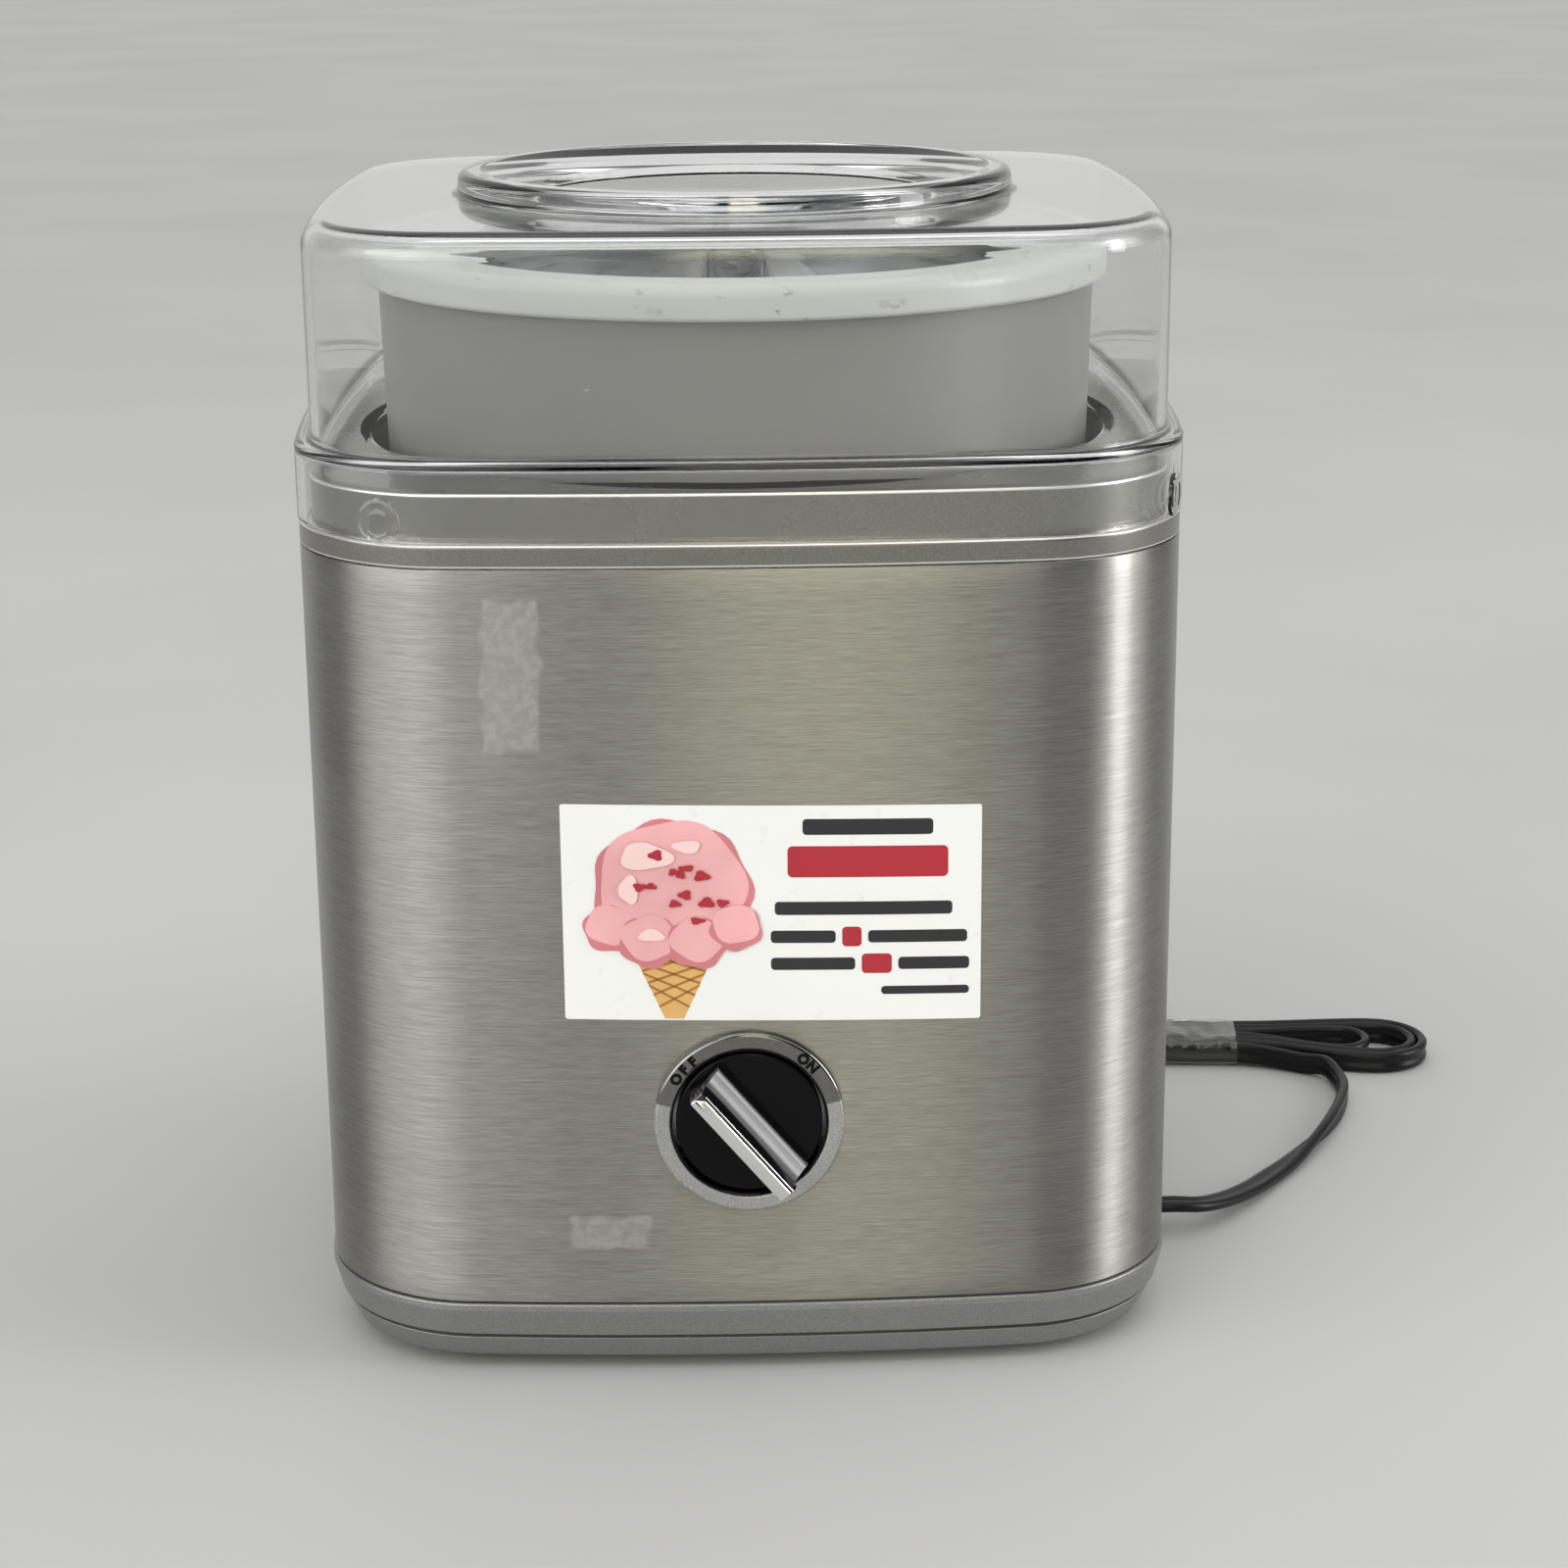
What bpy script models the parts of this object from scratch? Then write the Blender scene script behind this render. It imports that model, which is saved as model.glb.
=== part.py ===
"""Countertop ice cream maker: a freezer bowl that turns in a steel-wrapped base, under a clear lid.

Every length below is in millimetres and becomes metres when a mesh is made. +Z is up and the
machine faces -Y. The origin is on the ground, under the middle of the box round the machine
without its cord. The knob stands out at the front, so the bowl's axis is a little behind it.
"""
import math

import bmesh
import bpy
from mathutils import Vector

MM = 0.001
GAP = 0.3  # left between pieces that touch

# Housing outline: a square with round corners and sides that bow outwards
HALF_X = 105.7
HALF_Y = 101.1
CORNER_R = 36.8
BOW = 6.2
CORNER_STEPS = 5
SIDE_STEPS = 5
ROUND_STEPS = 40

# Heights of the stack, from the ground up
BASE_BOTTOM = 2.5
GROOVE_Z = 10.3
BASE_TOP = 19.6
LIP_BOTTOM = 198.9
LIP_TOP = 204.2
COLLAR_TOP = 215.8
SKIRT_TOP = 222.7
LID_TOP = 272.6
SPOUT_TOP = 278.0

# Sheet and wall thicknesses
STEEL_WALL = 0.8
BASE_WALL = 2.5
COLLAR_WALL = 2.2
WELL_WALL = 1.8
LID_WALL = 3.0
PLATE = 3.0

# How far each outline lies inside the steel's
COLLAR_INSET = 3.0
SKIRT_OUT = 0.3
SKIRT_WALL = 2.6
LID_INSET = 3.3

# Clear lid's pouring ring
SPOUT_R = 67.8
SPOUT_HOLE_R = 49.0

# Well that the bowl turns in
WELL_R = 92.4
WELL_FLOOR = 96.0
WELL_FLOOR_R = 88.5

# Freezer bowl: a plastic shell, a coolant wall and an aluminium liner under one rim ring
BOWL_BOTTOM = 99.5
BOWL_RIM_BOTTOM = 252.4
BOWL_RIM_TOP = 261.0
BOWL_RIM_R = 92.8
BOWL_R = 89.3
BOWL_FLOOR_R = 85.0
BOWL_WALL_TOP = 255.7
SHELL_WALL = 2.0
COOLANT_WALL = 14.6
LINER_WALL = 1.6
BOWL_INSIDE_FLOOR = 126.0

# Drive: hexagonal hub on a shaft, turned through two gear stages
HUB_R = 20.0
HUB_BOTTOM = 97.4
HUB_TOP = 109.0
SHAFT_R = 5.0
SHAFT_STEPS = 16
BUSH_WALL = 3.0
LARGE_TEETH = 60
SMALL_TEETH = 10
SLOW_MODULE = 1.0
FAST_MODULE = 0.8
SLOW_Z = (77.0, 84.0)
FAST_Z = (68.0, 74.0)
GEAR_LINE = math.radians(150)
PIN_R = 2.0
MOTOR_SHAFT_R = 2.5
GEARBOX_Z = (62.0, 87.4)
GEARBOX_WALL = 2.0
GEARBOX_SCREWS = ((38.0, -22.0), (6.0, 44.0), (-58.0, -8.0))
BOX_SCREW_R = 1.5

# Shaded-pole motor, hung under the gearbox
STACK_Z = (24.0, 46.0)
ROTOR_R = 15.0
STACK_HALF_WIDTH = 28.0
STACK_FRONT = -22.0
STACK_BACK = 40.0
COIL_WINDOW = (20.0, 30.0)
COIL_HALF_LENGTH = 13.0
COIL_BUILD = 8.0

# Corner posts under the collar, their screws and the rubber feet
POST_XY = (82.0, 77.0)
POST_R = 5.0
POST_BOTTOM = 9.5
SCREW_R = 1.6
SCREW_CUP_R = 5.6
SCREW_HEAD_HOLE_R = 4.3
FOOT_XY = (66.0, 62.0)
FOOT_R = 8.5
FOOT_PLUG_R = 3.0

# Vents through the bottom cover's floor, in two columns of five
VENT_X = 34.0
VENT_HALF = (20.0, 2.5)
VENT_PITCH = 10.0

# Control knob and its dial ring, measured out from the steel's front face
KNOB_Z = 66.8
KNOB_OUT = 14.3
BEZEL_R = 22.35
BEZEL_HOLE_R = 18.5
BEZEL_OUT = 2.8
DIAL_R = 17.15
KNOB_SHAFT_R = 3.0
POINTER_ANGLE = math.radians(130)
HANDLE_HALF_LENGTH = 16.3
SWITCH_HALF = 14.0
SWITCH_DEPTH = (-30.0, -11.5)

# Paddle that stands still in the turning bowl
PADDLE_TOP = 262.0
PADDLE_THICK = 3.2
PADDLE_CLEAR = 2.0

# Power cord: flat twin lead, and the hank that its spare length is folded into
CORD_D = 6.4
CORD_Y = -21.0
CORD_EXIT_Z = 8.0
RELIEF_X = (84.0, 108.2)
RELIEF_COLLAR_X = 102.2
RELIEF_HOLE = 6.6
HANK_CENTRE = (146.3, 108.3)
HANK_HALF = (61.0, 18.0)
HANK_TILT = math.radians(-4)
HANK_Z = (0.9, 10.0)
HANK_FULLNESS = 2.8
HANK_STEPS = 48
TAPE_FROM_CENTRE = -8.5
TAPE_HALF_WIDTH = 11.0
TAPE_THICK = 0.4
WAIST_PINCH = 0.4
WAIST_SPREAD = 20.0
PLUG_LENGTH = 26.0
PLUG_TAIL = 10.0
PLUG_HALF = (10.0, 7.0)

# The machine's axis stands back by half of what the knob adds at the front
AXIS_Y = (KNOB_OUT - SKIRT_OUT) / 2

FINISHES = {
    "painted_silver": ((0.46, 0.455, 0.44), 0.75, 0.38, 1.0),
    "brushed_steel": ((0.62, 0.61, 0.58), 1.0, 0.28, 1.0),
    "clear_plastic": ((0.92, 0.93, 0.93), 0.0, 0.04, 0.3),
    "white_plastic": ((0.82, 0.82, 0.80), 0.0, 0.4, 1.0),
    "grey_plastic": ((0.33, 0.33, 0.34), 0.0, 0.45, 1.0),
    "black_gloss": ((0.012, 0.012, 0.014), 0.0, 0.12, 1.0),
    "black_rubber": ((0.018, 0.018, 0.018), 0.0, 0.6, 1.0),
    "aluminium": ((0.75, 0.76, 0.77), 1.0, 0.35, 1.0),
    "bright_metal": ((0.8, 0.8, 0.8), 1.0, 0.18, 1.0),
    "laminated_iron": ((0.22, 0.22, 0.24), 0.8, 0.5, 1.0),
    "copper_coil": ((0.55, 0.22, 0.08), 0.6, 0.35, 1.0),
    "acetal": ((0.85, 0.84, 0.78), 0.0, 0.35, 1.0),
    "brass": ((0.72, 0.52, 0.22), 1.0, 0.3, 1.0),
    "blue_gel": ((0.25, 0.45, 0.68), 0.0, 0.5, 1.0),
}


def clear_scene():
    for obj in list(bpy.data.objects):
        bpy.data.objects.remove(obj, do_unlink=True)


# ---------------------------------------------------------------- outlines

def housing_outline(inset):
    """The housing's outline, moved in by inset: four corner arcs and four bowed sides."""
    half_x = HALF_X - inset
    half_y = HALF_Y - inset
    radius = CORNER_R - inset
    square = []
    for quarter in range(4):
        sign_x = 1 if quarter in (0, 3) else -1
        sign_y = 1 if quarter in (0, 1) else -1
        centre = Vector((sign_x * (half_x - radius), sign_y * (half_y - radius)))
        for step in range(CORNER_STEPS + 1):
            angle = math.radians(90) * (quarter + step / CORNER_STEPS)
            square.append(centre + radius * Vector((math.cos(angle), math.sin(angle))))
        turn = math.radians(90) * (quarter + 1)
        next_x = sign_x if quarter in (1, 3) else -sign_x
        next_y = sign_y if quarter in (0, 2) else -sign_y
        next_centre = Vector((next_x * (half_x - radius), next_y * (half_y - radius)))
        start = square[-1]
        end = next_centre + radius * Vector((math.cos(turn), math.sin(turn)))
        for step in range(1, SIDE_STEPS):
            square.append(start.lerp(end, step / SIDE_STEPS))
    return [bowed(p, half_x, half_y) for p in square]


def bowed(point, half_x, half_y):
    """Pull the ends of each side in by BOW, and leave its middle where it is."""
    x, y = point
    across, along = x / half_x, y / half_y
    pull_y = math.copysign(BOW * along ** 4 * across ** 2, y)
    pull_x = math.copysign(BOW * across ** 4 * along ** 2, x)
    return (x - pull_x, y - pull_y)


def circle(radius, steps=ROUND_STEPS, centre=(0.0, 0.0), phase=0.0):
    points = []
    for step in range(steps):
        angle = phase + math.tau * step / steps
        points.append((centre[0] + radius * math.cos(angle), centre[1] + radius * math.sin(angle)))
    return points


def circle_facing_outline(radius):
    """A circle whose points stand on the same rays as the housing outline's."""
    points = []
    for x, y in housing_outline(0):
        angle = math.atan2(y, x)
        points.append((radius * math.cos(angle), radius * math.sin(angle)))
    return points


def hull(points):
    """Convex outline round the points, anticlockwise."""
    ordered = sorted(set(points))

    def half(chain_points):
        chain = []
        for p in chain_points:
            while len(chain) > 1 and turn_of(chain[-2], chain[-1], p) <= 0:
                chain.pop()
            chain.append(p)
        return chain[:-1]

    return half(ordered) + half(ordered[::-1])


def turn_of(a, b, c):
    return (b[0] - a[0]) * (c[1] - a[1]) - (b[1] - a[1]) * (c[0] - a[0])


def gear_outline(teeth, module, phase):
    """Straight-flanked teeth with backlash; a tooth's middle points along phase."""
    pitch_r = teeth * module / 2
    tip_r = pitch_r + 0.9 * module
    root_r = pitch_r - 1.15 * module
    pitch = math.tau / teeth
    points = []
    for tooth in range(teeth):
        middle = phase + tooth * pitch
        for radius, offset in ((root_r, -0.25), (tip_r, -0.09), (tip_r, 0.09), (root_r, 0.25)):
            angle = middle + offset * pitch
            points.append((radius * math.cos(angle), radius * math.sin(angle)))
    return points


# ---------------------------------------------------------------- solids

def finish_material(name, finish):
    colour, metallic, roughness, alpha = FINISHES[finish]
    material = bpy.data.materials.new(name)
    material.use_nodes = True
    shader = material.node_tree.nodes["Principled BSDF"]
    shader.inputs["Base Color"].default_value = (*colour, 1.0)
    shader.inputs["Metallic"].default_value = metallic
    shader.inputs["Roughness"].default_value = roughness
    shader.inputs["Alpha"].default_value = alpha
    return material


def solid(name, verts, faces, finish, parent):
    """One closed piece; verts are in millimetres in its parent's frame."""
    mesh = bpy.data.meshes.new(name)
    mesh.from_pydata([Vector(v) * MM for v in verts], [], faces)
    bm = bmesh.new()
    bm.from_mesh(mesh)
    bmesh.ops.recalc_face_normals(bm, faces=bm.faces)
    bm.to_mesh(mesh)
    bm.free()
    mesh.shade_smooth()
    mesh.set_sharp_from_angle(angle=math.radians(32))
    mesh.materials.append(finish_material(name, finish))
    obj = bpy.data.objects.new(name, mesh)
    obj.parent = parent
    bpy.context.collection.objects.link(obj)
    return obj


def loft(name, rings, finish, parent, closed=False):
    """Skin equal rings of points; closed joins the last ring to the first, else both ends are capped."""
    count = len(rings[0])
    verts = [p for ring in rings for p in ring]
    spans = len(rings) if closed else len(rings) - 1
    faces = []
    for band in range(spans):
        low = band * count
        high = (band + 1) % len(rings) * count
        for i in range(count):
            j = (i + 1) % count
            faces.append((low + i, low + j, high + j, high + i))
    if not closed:
        faces.append(tuple(range(count))[::-1])
        faces.append(tuple(range(len(verts) - count, len(verts))))
    return solid(name, verts, faces, finish, parent)


def at_height(outline, z):
    return [(x, y, z) for x, y in outline]


def turned(name, profile, finish, parent, steps=ROUND_STEPS, closed=False):
    """Turn (radius, height) points round the parent's Z axis."""
    rings = [at_height(circle(r, steps), z) for r, z in profile]
    return loft(name, rings, finish, parent, closed)


def prism(name, outline, low, high, finish, parent):
    return loft(name, [at_height(outline, low), at_height(outline, high)], finish, parent)


def box_outline(x0, x1, y0, y1):
    return [(x0, y0), (x1, y0), (x1, y1), (x0, y1)]


def tool(shapes, name, parent):
    """A hidden cutter or adder made of several closed shapes, each a list of rings."""
    verts = []
    faces = []
    for rings in shapes:
        base = len(verts)
        count = len(rings[0])
        verts += [p for ring in rings for p in ring]
        for band in range(len(rings) - 1):
            low = base + band * count
            for i in range(count):
                j = (i + 1) % count
                faces.append((low + i, low + j, low + count + j, low + count + i))
        faces.append(tuple(range(base, base + count))[::-1])
        faces.append(tuple(range(len(verts) - count, len(verts))))
    obj = solid(name, verts, faces, "grey_plastic", parent)
    obj.hide_render = True
    obj.display_type = 'WIRE'
    return obj


def column(outline, low, high):
    return [at_height(outline, low), at_height(outline, high)]


def stepped_hole(steps, xy, profile):
    """A column whose radius changes with height, given as (radius, height) points."""
    return [at_height(circle(radius, steps, xy), z) for radius, z in profile]


def combine(obj, shapes, operation):
    """Add or cut shapes that don't overlap each other."""
    modifier = obj.modifiers.new(operation.lower(), 'BOOLEAN')
    modifier.operation = operation
    modifier.object = tool(shapes, f"{obj.name}_{operation.lower()}", obj.parent)


def empty(name, location, parent=None, rotation=(0, 0, 0)):
    obj = bpy.data.objects.new(name, None)
    obj.parent = parent
    obj.location = Vector(location) * MM
    obj.rotation_euler = rotation
    bpy.context.collection.objects.link(obj)
    return obj


def corners(xy):
    return [(sx * xy[0], sy * xy[1]) for sx in (-1, 1) for sy in (-1, 1)]


# ---------------------------------------------------------------- housing

def build_bottom_cover(axis):
    """Floor pan with a grooved, tapered skirt, screw cups, foot holes, vents and the cord's way out."""
    profile = [
        (8.0, BASE_BOTTOM), (4.6, 3.6), (1.8, GROOVE_Z - 0.6), (2.5, GROOVE_Z - 0.3),
        (2.5, GROOVE_Z + 0.3), (1.2, GROOVE_Z + 0.6), (-0.5, BASE_TOP - 1.8), (-0.5, BASE_TOP - 0.4),
        (0.1, BASE_TOP), (STEEL_WALL + GAP, BASE_TOP), (STEEL_WALL + GAP, BASE_TOP + 3.4),
        (STEEL_WALL + 2.5, BASE_TOP + 3.4), (STEEL_WALL + 2.8, BASE_TOP),
        (1.8 + BASE_WALL, GROOVE_Z - 2), (7.4, BASE_BOTTOM + BASE_WALL),
    ]
    rings = [at_height(housing_outline(inset), z) for inset, z in profile]
    cover = loft("bottom_cover", rings, "painted_silver", axis)
    floor_top = BASE_BOTTOM + BASE_WALL
    cup_z = (BASE_BOTTOM + 0.4, POST_BOTTOM - GAP)
    cups = [column(circle(SCREW_CUP_R, 16, xy), *cup_z) for xy in corners(POST_XY)]
    combine(cover, cups, 'UNION')
    cuts = []
    for xy in corners(POST_XY):
        head, shank = SCREW_HEAD_HOLE_R, SCREW_R + GAP
        cuts.append(stepped_hole(12, xy, [(head, 0), (head, 6.5), (shank, 6.5), (shank, 12)]))
    for xy in corners(FOOT_XY):
        cuts.append(column(circle(FOOT_PLUG_R + 0.4, 12, xy), 0, floor_top + 1))
    for row in range(-2, 3):
        for side in (-1, 1):
            x, y = side * VENT_X, row * VENT_PITCH
            slot = box_outline(x - VENT_HALF[0], x + VENT_HALF[0], y - VENT_HALF[1], y + VENT_HALF[1])
            cuts.append(column(slot, 0, floor_top + 1))
    way_out = box_outline(RELIEF_X[0] - 2, HALF_X + 4, CORD_Y - RELIEF_HOLE, CORD_Y + RELIEF_HOLE)
    cuts.append(column(way_out, -1, CORD_EXIT_Z + RELIEF_HOLE))
    combine(cover, cuts, 'DIFFERENCE')


def build_steel_wrap(axis):
    low = BASE_TOP + GAP
    high = LIP_BOTTOM - GAP
    outer = housing_outline(0)
    inner = housing_outline(STEEL_WALL)
    rings = [at_height(outer, low), at_height(outer, high), at_height(inner, high), at_height(inner, low)]
    wrap = loft("steel_wrap", rings, "brushed_steel", axis, closed=True)
    hole = []
    for y in (-HALF_Y - 3, -HALF_Y + 5):
        hole.append([(x, y, KNOB_Z + z) for x, z in circle(BEZEL_HOLE_R + 1.9, 24)])
    combine(wrap, [hole], 'DIFFERENCE')


def build_collar(axis):
    """Silver ring that closes the steel's top, with the well's opening and four screw posts."""
    wall_inside = COLLAR_INSET + COLLAR_WALL
    tongue = STEEL_WALL + GAP
    rings = [
        at_height(housing_outline(0), LIP_BOTTOM),
        at_height(housing_outline(0), LIP_TOP - 0.5),
        at_height(housing_outline(0.5), LIP_TOP),
        at_height(housing_outline(COLLAR_INSET), LIP_TOP),
        at_height(housing_outline(COLLAR_INSET), COLLAR_TOP - 1.6),
        at_height(housing_outline(COLLAR_INSET + 1.6), COLLAR_TOP),
        at_height(circle_facing_outline(WELL_R + 0.2), COLLAR_TOP),
        at_height(circle_facing_outline(WELL_R + 0.2), COLLAR_TOP - PLATE),
        at_height(housing_outline(wall_inside), COLLAR_TOP - PLATE),
        at_height(housing_outline(wall_inside), LIP_TOP - 2),
        at_height(housing_outline(tongue + COLLAR_WALL), LIP_BOTTOM - 4),
        at_height(housing_outline(tongue), LIP_BOTTOM - 4),
        at_height(housing_outline(tongue), LIP_BOTTOM),
    ]
    collar = loft("top_collar", rings, "painted_silver", axis, closed=True)
    posts = [column(circle(POST_R, 12, xy), POST_BOTTOM, COLLAR_TOP - 1) for xy in corners(POST_XY)]
    combine(collar, posts, 'UNION')
    bores = [column(circle(SCREW_R + GAP, 12, xy), POST_BOTTOM - 1, 30) for xy in corners(POST_XY)]
    combine(collar, bores, 'DIFFERENCE')


def build_well(axis):
    """Cup that the bowl turns in, hung under the collar by its flange."""
    flange_top = COLLAR_TOP - PLATE - GAP
    outside = WELL_R + WELL_WALL
    boss_r = SHAFT_R + BUSH_WALL + GAP + 4
    hole_r = SHAFT_R + BUSH_WALL + GAP
    profile = [
        (WELL_R, flange_top), (WELL_R, WELL_FLOOR + 60), (WELL_FLOOR_R, WELL_FLOOR + 4),
        (WELL_FLOOR_R - 4, WELL_FLOOR), (hole_r, WELL_FLOOR), (hole_r, WELL_FLOOR - 5),
        (boss_r, WELL_FLOOR - 5), (boss_r, WELL_FLOOR - 2), (WELL_FLOOR_R - 3, WELL_FLOOR - 2),
        (WELL_FLOOR_R + 2, WELL_FLOOR + 3), (outside, WELL_FLOOR + 60), (outside, flange_top - 2.6),
        (WELL_R + 3.0, flange_top - 2.6), (WELL_R + 3.0, flange_top),
    ]
    well = turned("bowl_well", profile, "grey_plastic", axis, closed=True)
    top = WELL_FLOOR - 1
    hangers = [column(circle(4.5, 12, xy), GEARBOX_Z[1] + 2 + 2 * GAP, top) for xy in GEARBOX_SCREWS]
    combine(well, hangers, 'UNION')
    bore_r = BOX_SCREW_R + GAP
    bores = [column(circle(bore_r, 10, xy), GEARBOX_Z[1], WELL_FLOOR - 3) for xy in GEARBOX_SCREWS]
    combine(well, bores, 'DIFFERENCE')


def build_feet_and_screws(axis):
    floor_top = BASE_BOTTOM + BASE_WALL
    pad_top = BASE_BOTTOM - GAP
    foot = [
        (FOOT_R - 1, 0), (FOOT_R, 0.8), (FOOT_R, pad_top), (FOOT_PLUG_R, pad_top),
        (FOOT_PLUG_R, floor_top + GAP), (FOOT_PLUG_R + 1.2, floor_top + GAP), (FOOT_PLUG_R, floor_top + 1.8),
    ]
    screw = [(3.9, 4.2), (3.9, 6.2), (SCREW_R, 6.2), (SCREW_R, 26.0)]
    sides = ("left_front", "left_back", "right_front", "right_back")
    for side, foot_xy, screw_xy in zip(sides, corners(FOOT_XY), corners(POST_XY)):
        piece = turned(f"foot_{side}", foot, "black_rubber", axis, 12)
        piece.location = Vector((*foot_xy, 0)) * MM
        piece = turned(f"base_screw_{side}", screw, "bright_metal", axis, 10)
        piece.location = Vector((*screw_xy, 0)) * MM


# ---------------------------------------------------------------- drive

def along_gear_line(distance):
    return (distance * math.cos(GEAR_LINE), distance * math.sin(GEAR_LINE))


def gear_distances():
    """Distances of the intermediate pin and the motor shaft from the bowl's axis."""
    pin = (LARGE_TEETH + SMALL_TEETH) * SLOW_MODULE / 2
    motor = pin + (LARGE_TEETH + SMALL_TEETH) * FAST_MODULE / 2
    return pin, motor


def drilled_gear(name, outline, low, high, bore_r, finish, parent):
    gear = prism(name, outline, low, high, finish, parent)
    combine(gear, [column(circle(bore_r, SHAFT_STEPS), low - 1, high + 1)], 'DIFFERENCE')
    return gear


def build_output_drive(bowl_axis):
    """Output gear, shaft and the hub that the bowl's socket drops onto."""
    drilled_gear("output_gear", gear_outline(LARGE_TEETH, SLOW_MODULE, GEAR_LINE),
                 *SLOW_Z, SHAFT_R + GAP, "acetal", bowl_axis)
    shaft = [(SHAFT_R, GEARBOX_Z[0] + 0.5), (SHAFT_R, HUB_TOP - 4)]
    turned("drive_shaft", shaft, "bright_metal", bowl_axis, SHAFT_STEPS)
    hexagon = circle(HUB_R, 6)
    hub = loft("drive_hub", [
        at_height(hexagon, HUB_BOTTOM),
        at_height(hexagon, HUB_TOP - 1.5),
        at_height(circle(HUB_R - 1.7, 6), HUB_TOP),
    ], "acetal", bowl_axis)
    bore = column(circle(SHAFT_R + GAP, SHAFT_STEPS), HUB_BOTTOM - 1, HUB_TOP - 3.5)
    combine(hub, [bore], 'DIFFERENCE')


def build_gear_train(axis, pin_axis, motor_axis):
    """Compound gear on its pin, and the pinion on the motor's shaft."""
    fast_gear = gear_outline(LARGE_TEETH, FAST_MODULE, GEAR_LINE)
    half_tooth = math.pi / SMALL_TEETH
    slow_pinion = gear_outline(SMALL_TEETH, SLOW_MODULE, GEAR_LINE + math.pi + half_tooth)
    compound = prism("intermediate_gear", fast_gear, *FAST_Z, "acetal", pin_axis)
    combine(compound, [column(slow_pinion, FAST_Z[0] + 1, SLOW_Z[1])], 'UNION')
    bore = column(circle(PIN_R + GAP, SHAFT_STEPS), FAST_Z[0] - 1, SLOW_Z[1] + 1)
    combine(compound, [bore], 'DIFFERENCE')
    pin = [(PIN_R, GEARBOX_Z[0] + GEARBOX_WALL + GAP), (PIN_R, GEARBOX_Z[1] - GAP)]
    turned("intermediate_pin", pin, "bright_metal", axis, SHAFT_STEPS).location = pin_axis.location
    fast_pinion = gear_outline(SMALL_TEETH, FAST_MODULE, GEAR_LINE + math.pi + half_tooth)
    drilled_gear("motor_pinion", fast_pinion, FAST_Z[0] - 0.5, FAST_Z[1] + 1,
                 1.5 + GAP, "brass", motor_axis)
    shaft = [
        (MOTOR_SHAFT_R, STACK_Z[0] - 9), (MOTOR_SHAFT_R, GEARBOX_Z[0] + GEARBOX_WALL + 1),
        (1.5, GEARBOX_Z[0] + GEARBOX_WALL + 1), (1.5, FAST_Z[1] + 1.5),
    ]
    turned("motor_shaft", shaft, "bright_metal", motor_axis, SHAFT_STEPS)
    rotor = [
        (ROTOR_R, STACK_Z[0] - 1), (ROTOR_R, STACK_Z[1] + 1),
        (MOTOR_SHAFT_R + GAP, STACK_Z[1] + 1), (MOTOR_SHAFT_R + GAP, STACK_Z[0] - 1),
    ]
    turned("motor_rotor", rotor, "aluminium", motor_axis, 24, closed=True)


def build_gearbox(axis):
    """Tub and cover round the gear train, drilled for the shafts and three screws."""
    pin, motor = gear_distances()
    slow_r = LARGE_TEETH * SLOW_MODULE / 2 + 3.0
    fast_r = LARGE_TEETH * FAST_MODULE / 2 + 3.0
    inside = circle(slow_r, 24) + circle(fast_r, 24, along_gear_line(pin))
    inside = hull(inside + circle(10.0, 24, along_gear_line(motor)))
    lugs = [p for xy in GEARBOX_SCREWS for p in circle(4.5, 16, xy)]
    lugs += circle(slow_r + GEARBOX_WALL, 24) + circle(fast_r + GEARBOX_WALL, 24, along_gear_line(pin))
    outside = hull(lugs + circle(10.0 + GEARBOX_WALL, 24, along_gear_line(motor)))
    low, high = GEARBOX_Z
    housing = prism("gearbox_housing", outside, low, high, "grey_plastic", axis)
    screw_holes = [column(circle(BOX_SCREW_R + GAP, 10, xy), low - 1, high + 5) for xy in GEARBOX_SCREWS]
    bush_hole = column(circle(SHAFT_R + BUSH_WALL + GAP, 24), low - 1, low + 5)
    motor_hole = column(circle(MOTOR_SHAFT_R + 1, 16, along_gear_line(motor)), low - 1, low + 5)
    cavity = column(inside, low + GEARBOX_WALL, high + 1)
    combine(housing, [cavity] + screw_holes, 'DIFFERENCE')
    combine(housing, [bush_hole, motor_hole], 'DIFFERENCE')
    cover = prism("gearbox_cover", outside, high + GAP, high + GAP + 2, "grey_plastic", axis)
    shaft_hole = column(circle(SHAFT_R + 1, 16), high - 1, high + 5)
    combine(cover, [shaft_hole] + screw_holes, 'DIFFERENCE')
    bush = [(SHAFT_R + BUSH_WALL, 0), (SHAFT_R + BUSH_WALL, 4.5), (SHAFT_R + GAP, 4.5), (SHAFT_R + GAP, 0)]
    lower = turned("shaft_bush_lower", bush, "brass", axis, 16, closed=True)
    lower.location.z = (low + 0.4) * MM
    upper = turned("shaft_bush_upper", bush, "brass", axis, 16, closed=True)
    upper.location.z = (WELL_FLOOR - 4.8) * MM
    screw = [(3.4, low - 3), (3.4, low - GAP), (BOX_SCREW_R, low - GAP), (BOX_SCREW_R, WELL_FLOOR - 4)]
    for number, xy in enumerate(GEARBOX_SCREWS, 1):
        piece = turned(f"gearbox_screw_{number}", screw, "bright_metal", axis, 10)
        piece.location = Vector((*xy, 0)) * MM


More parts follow.
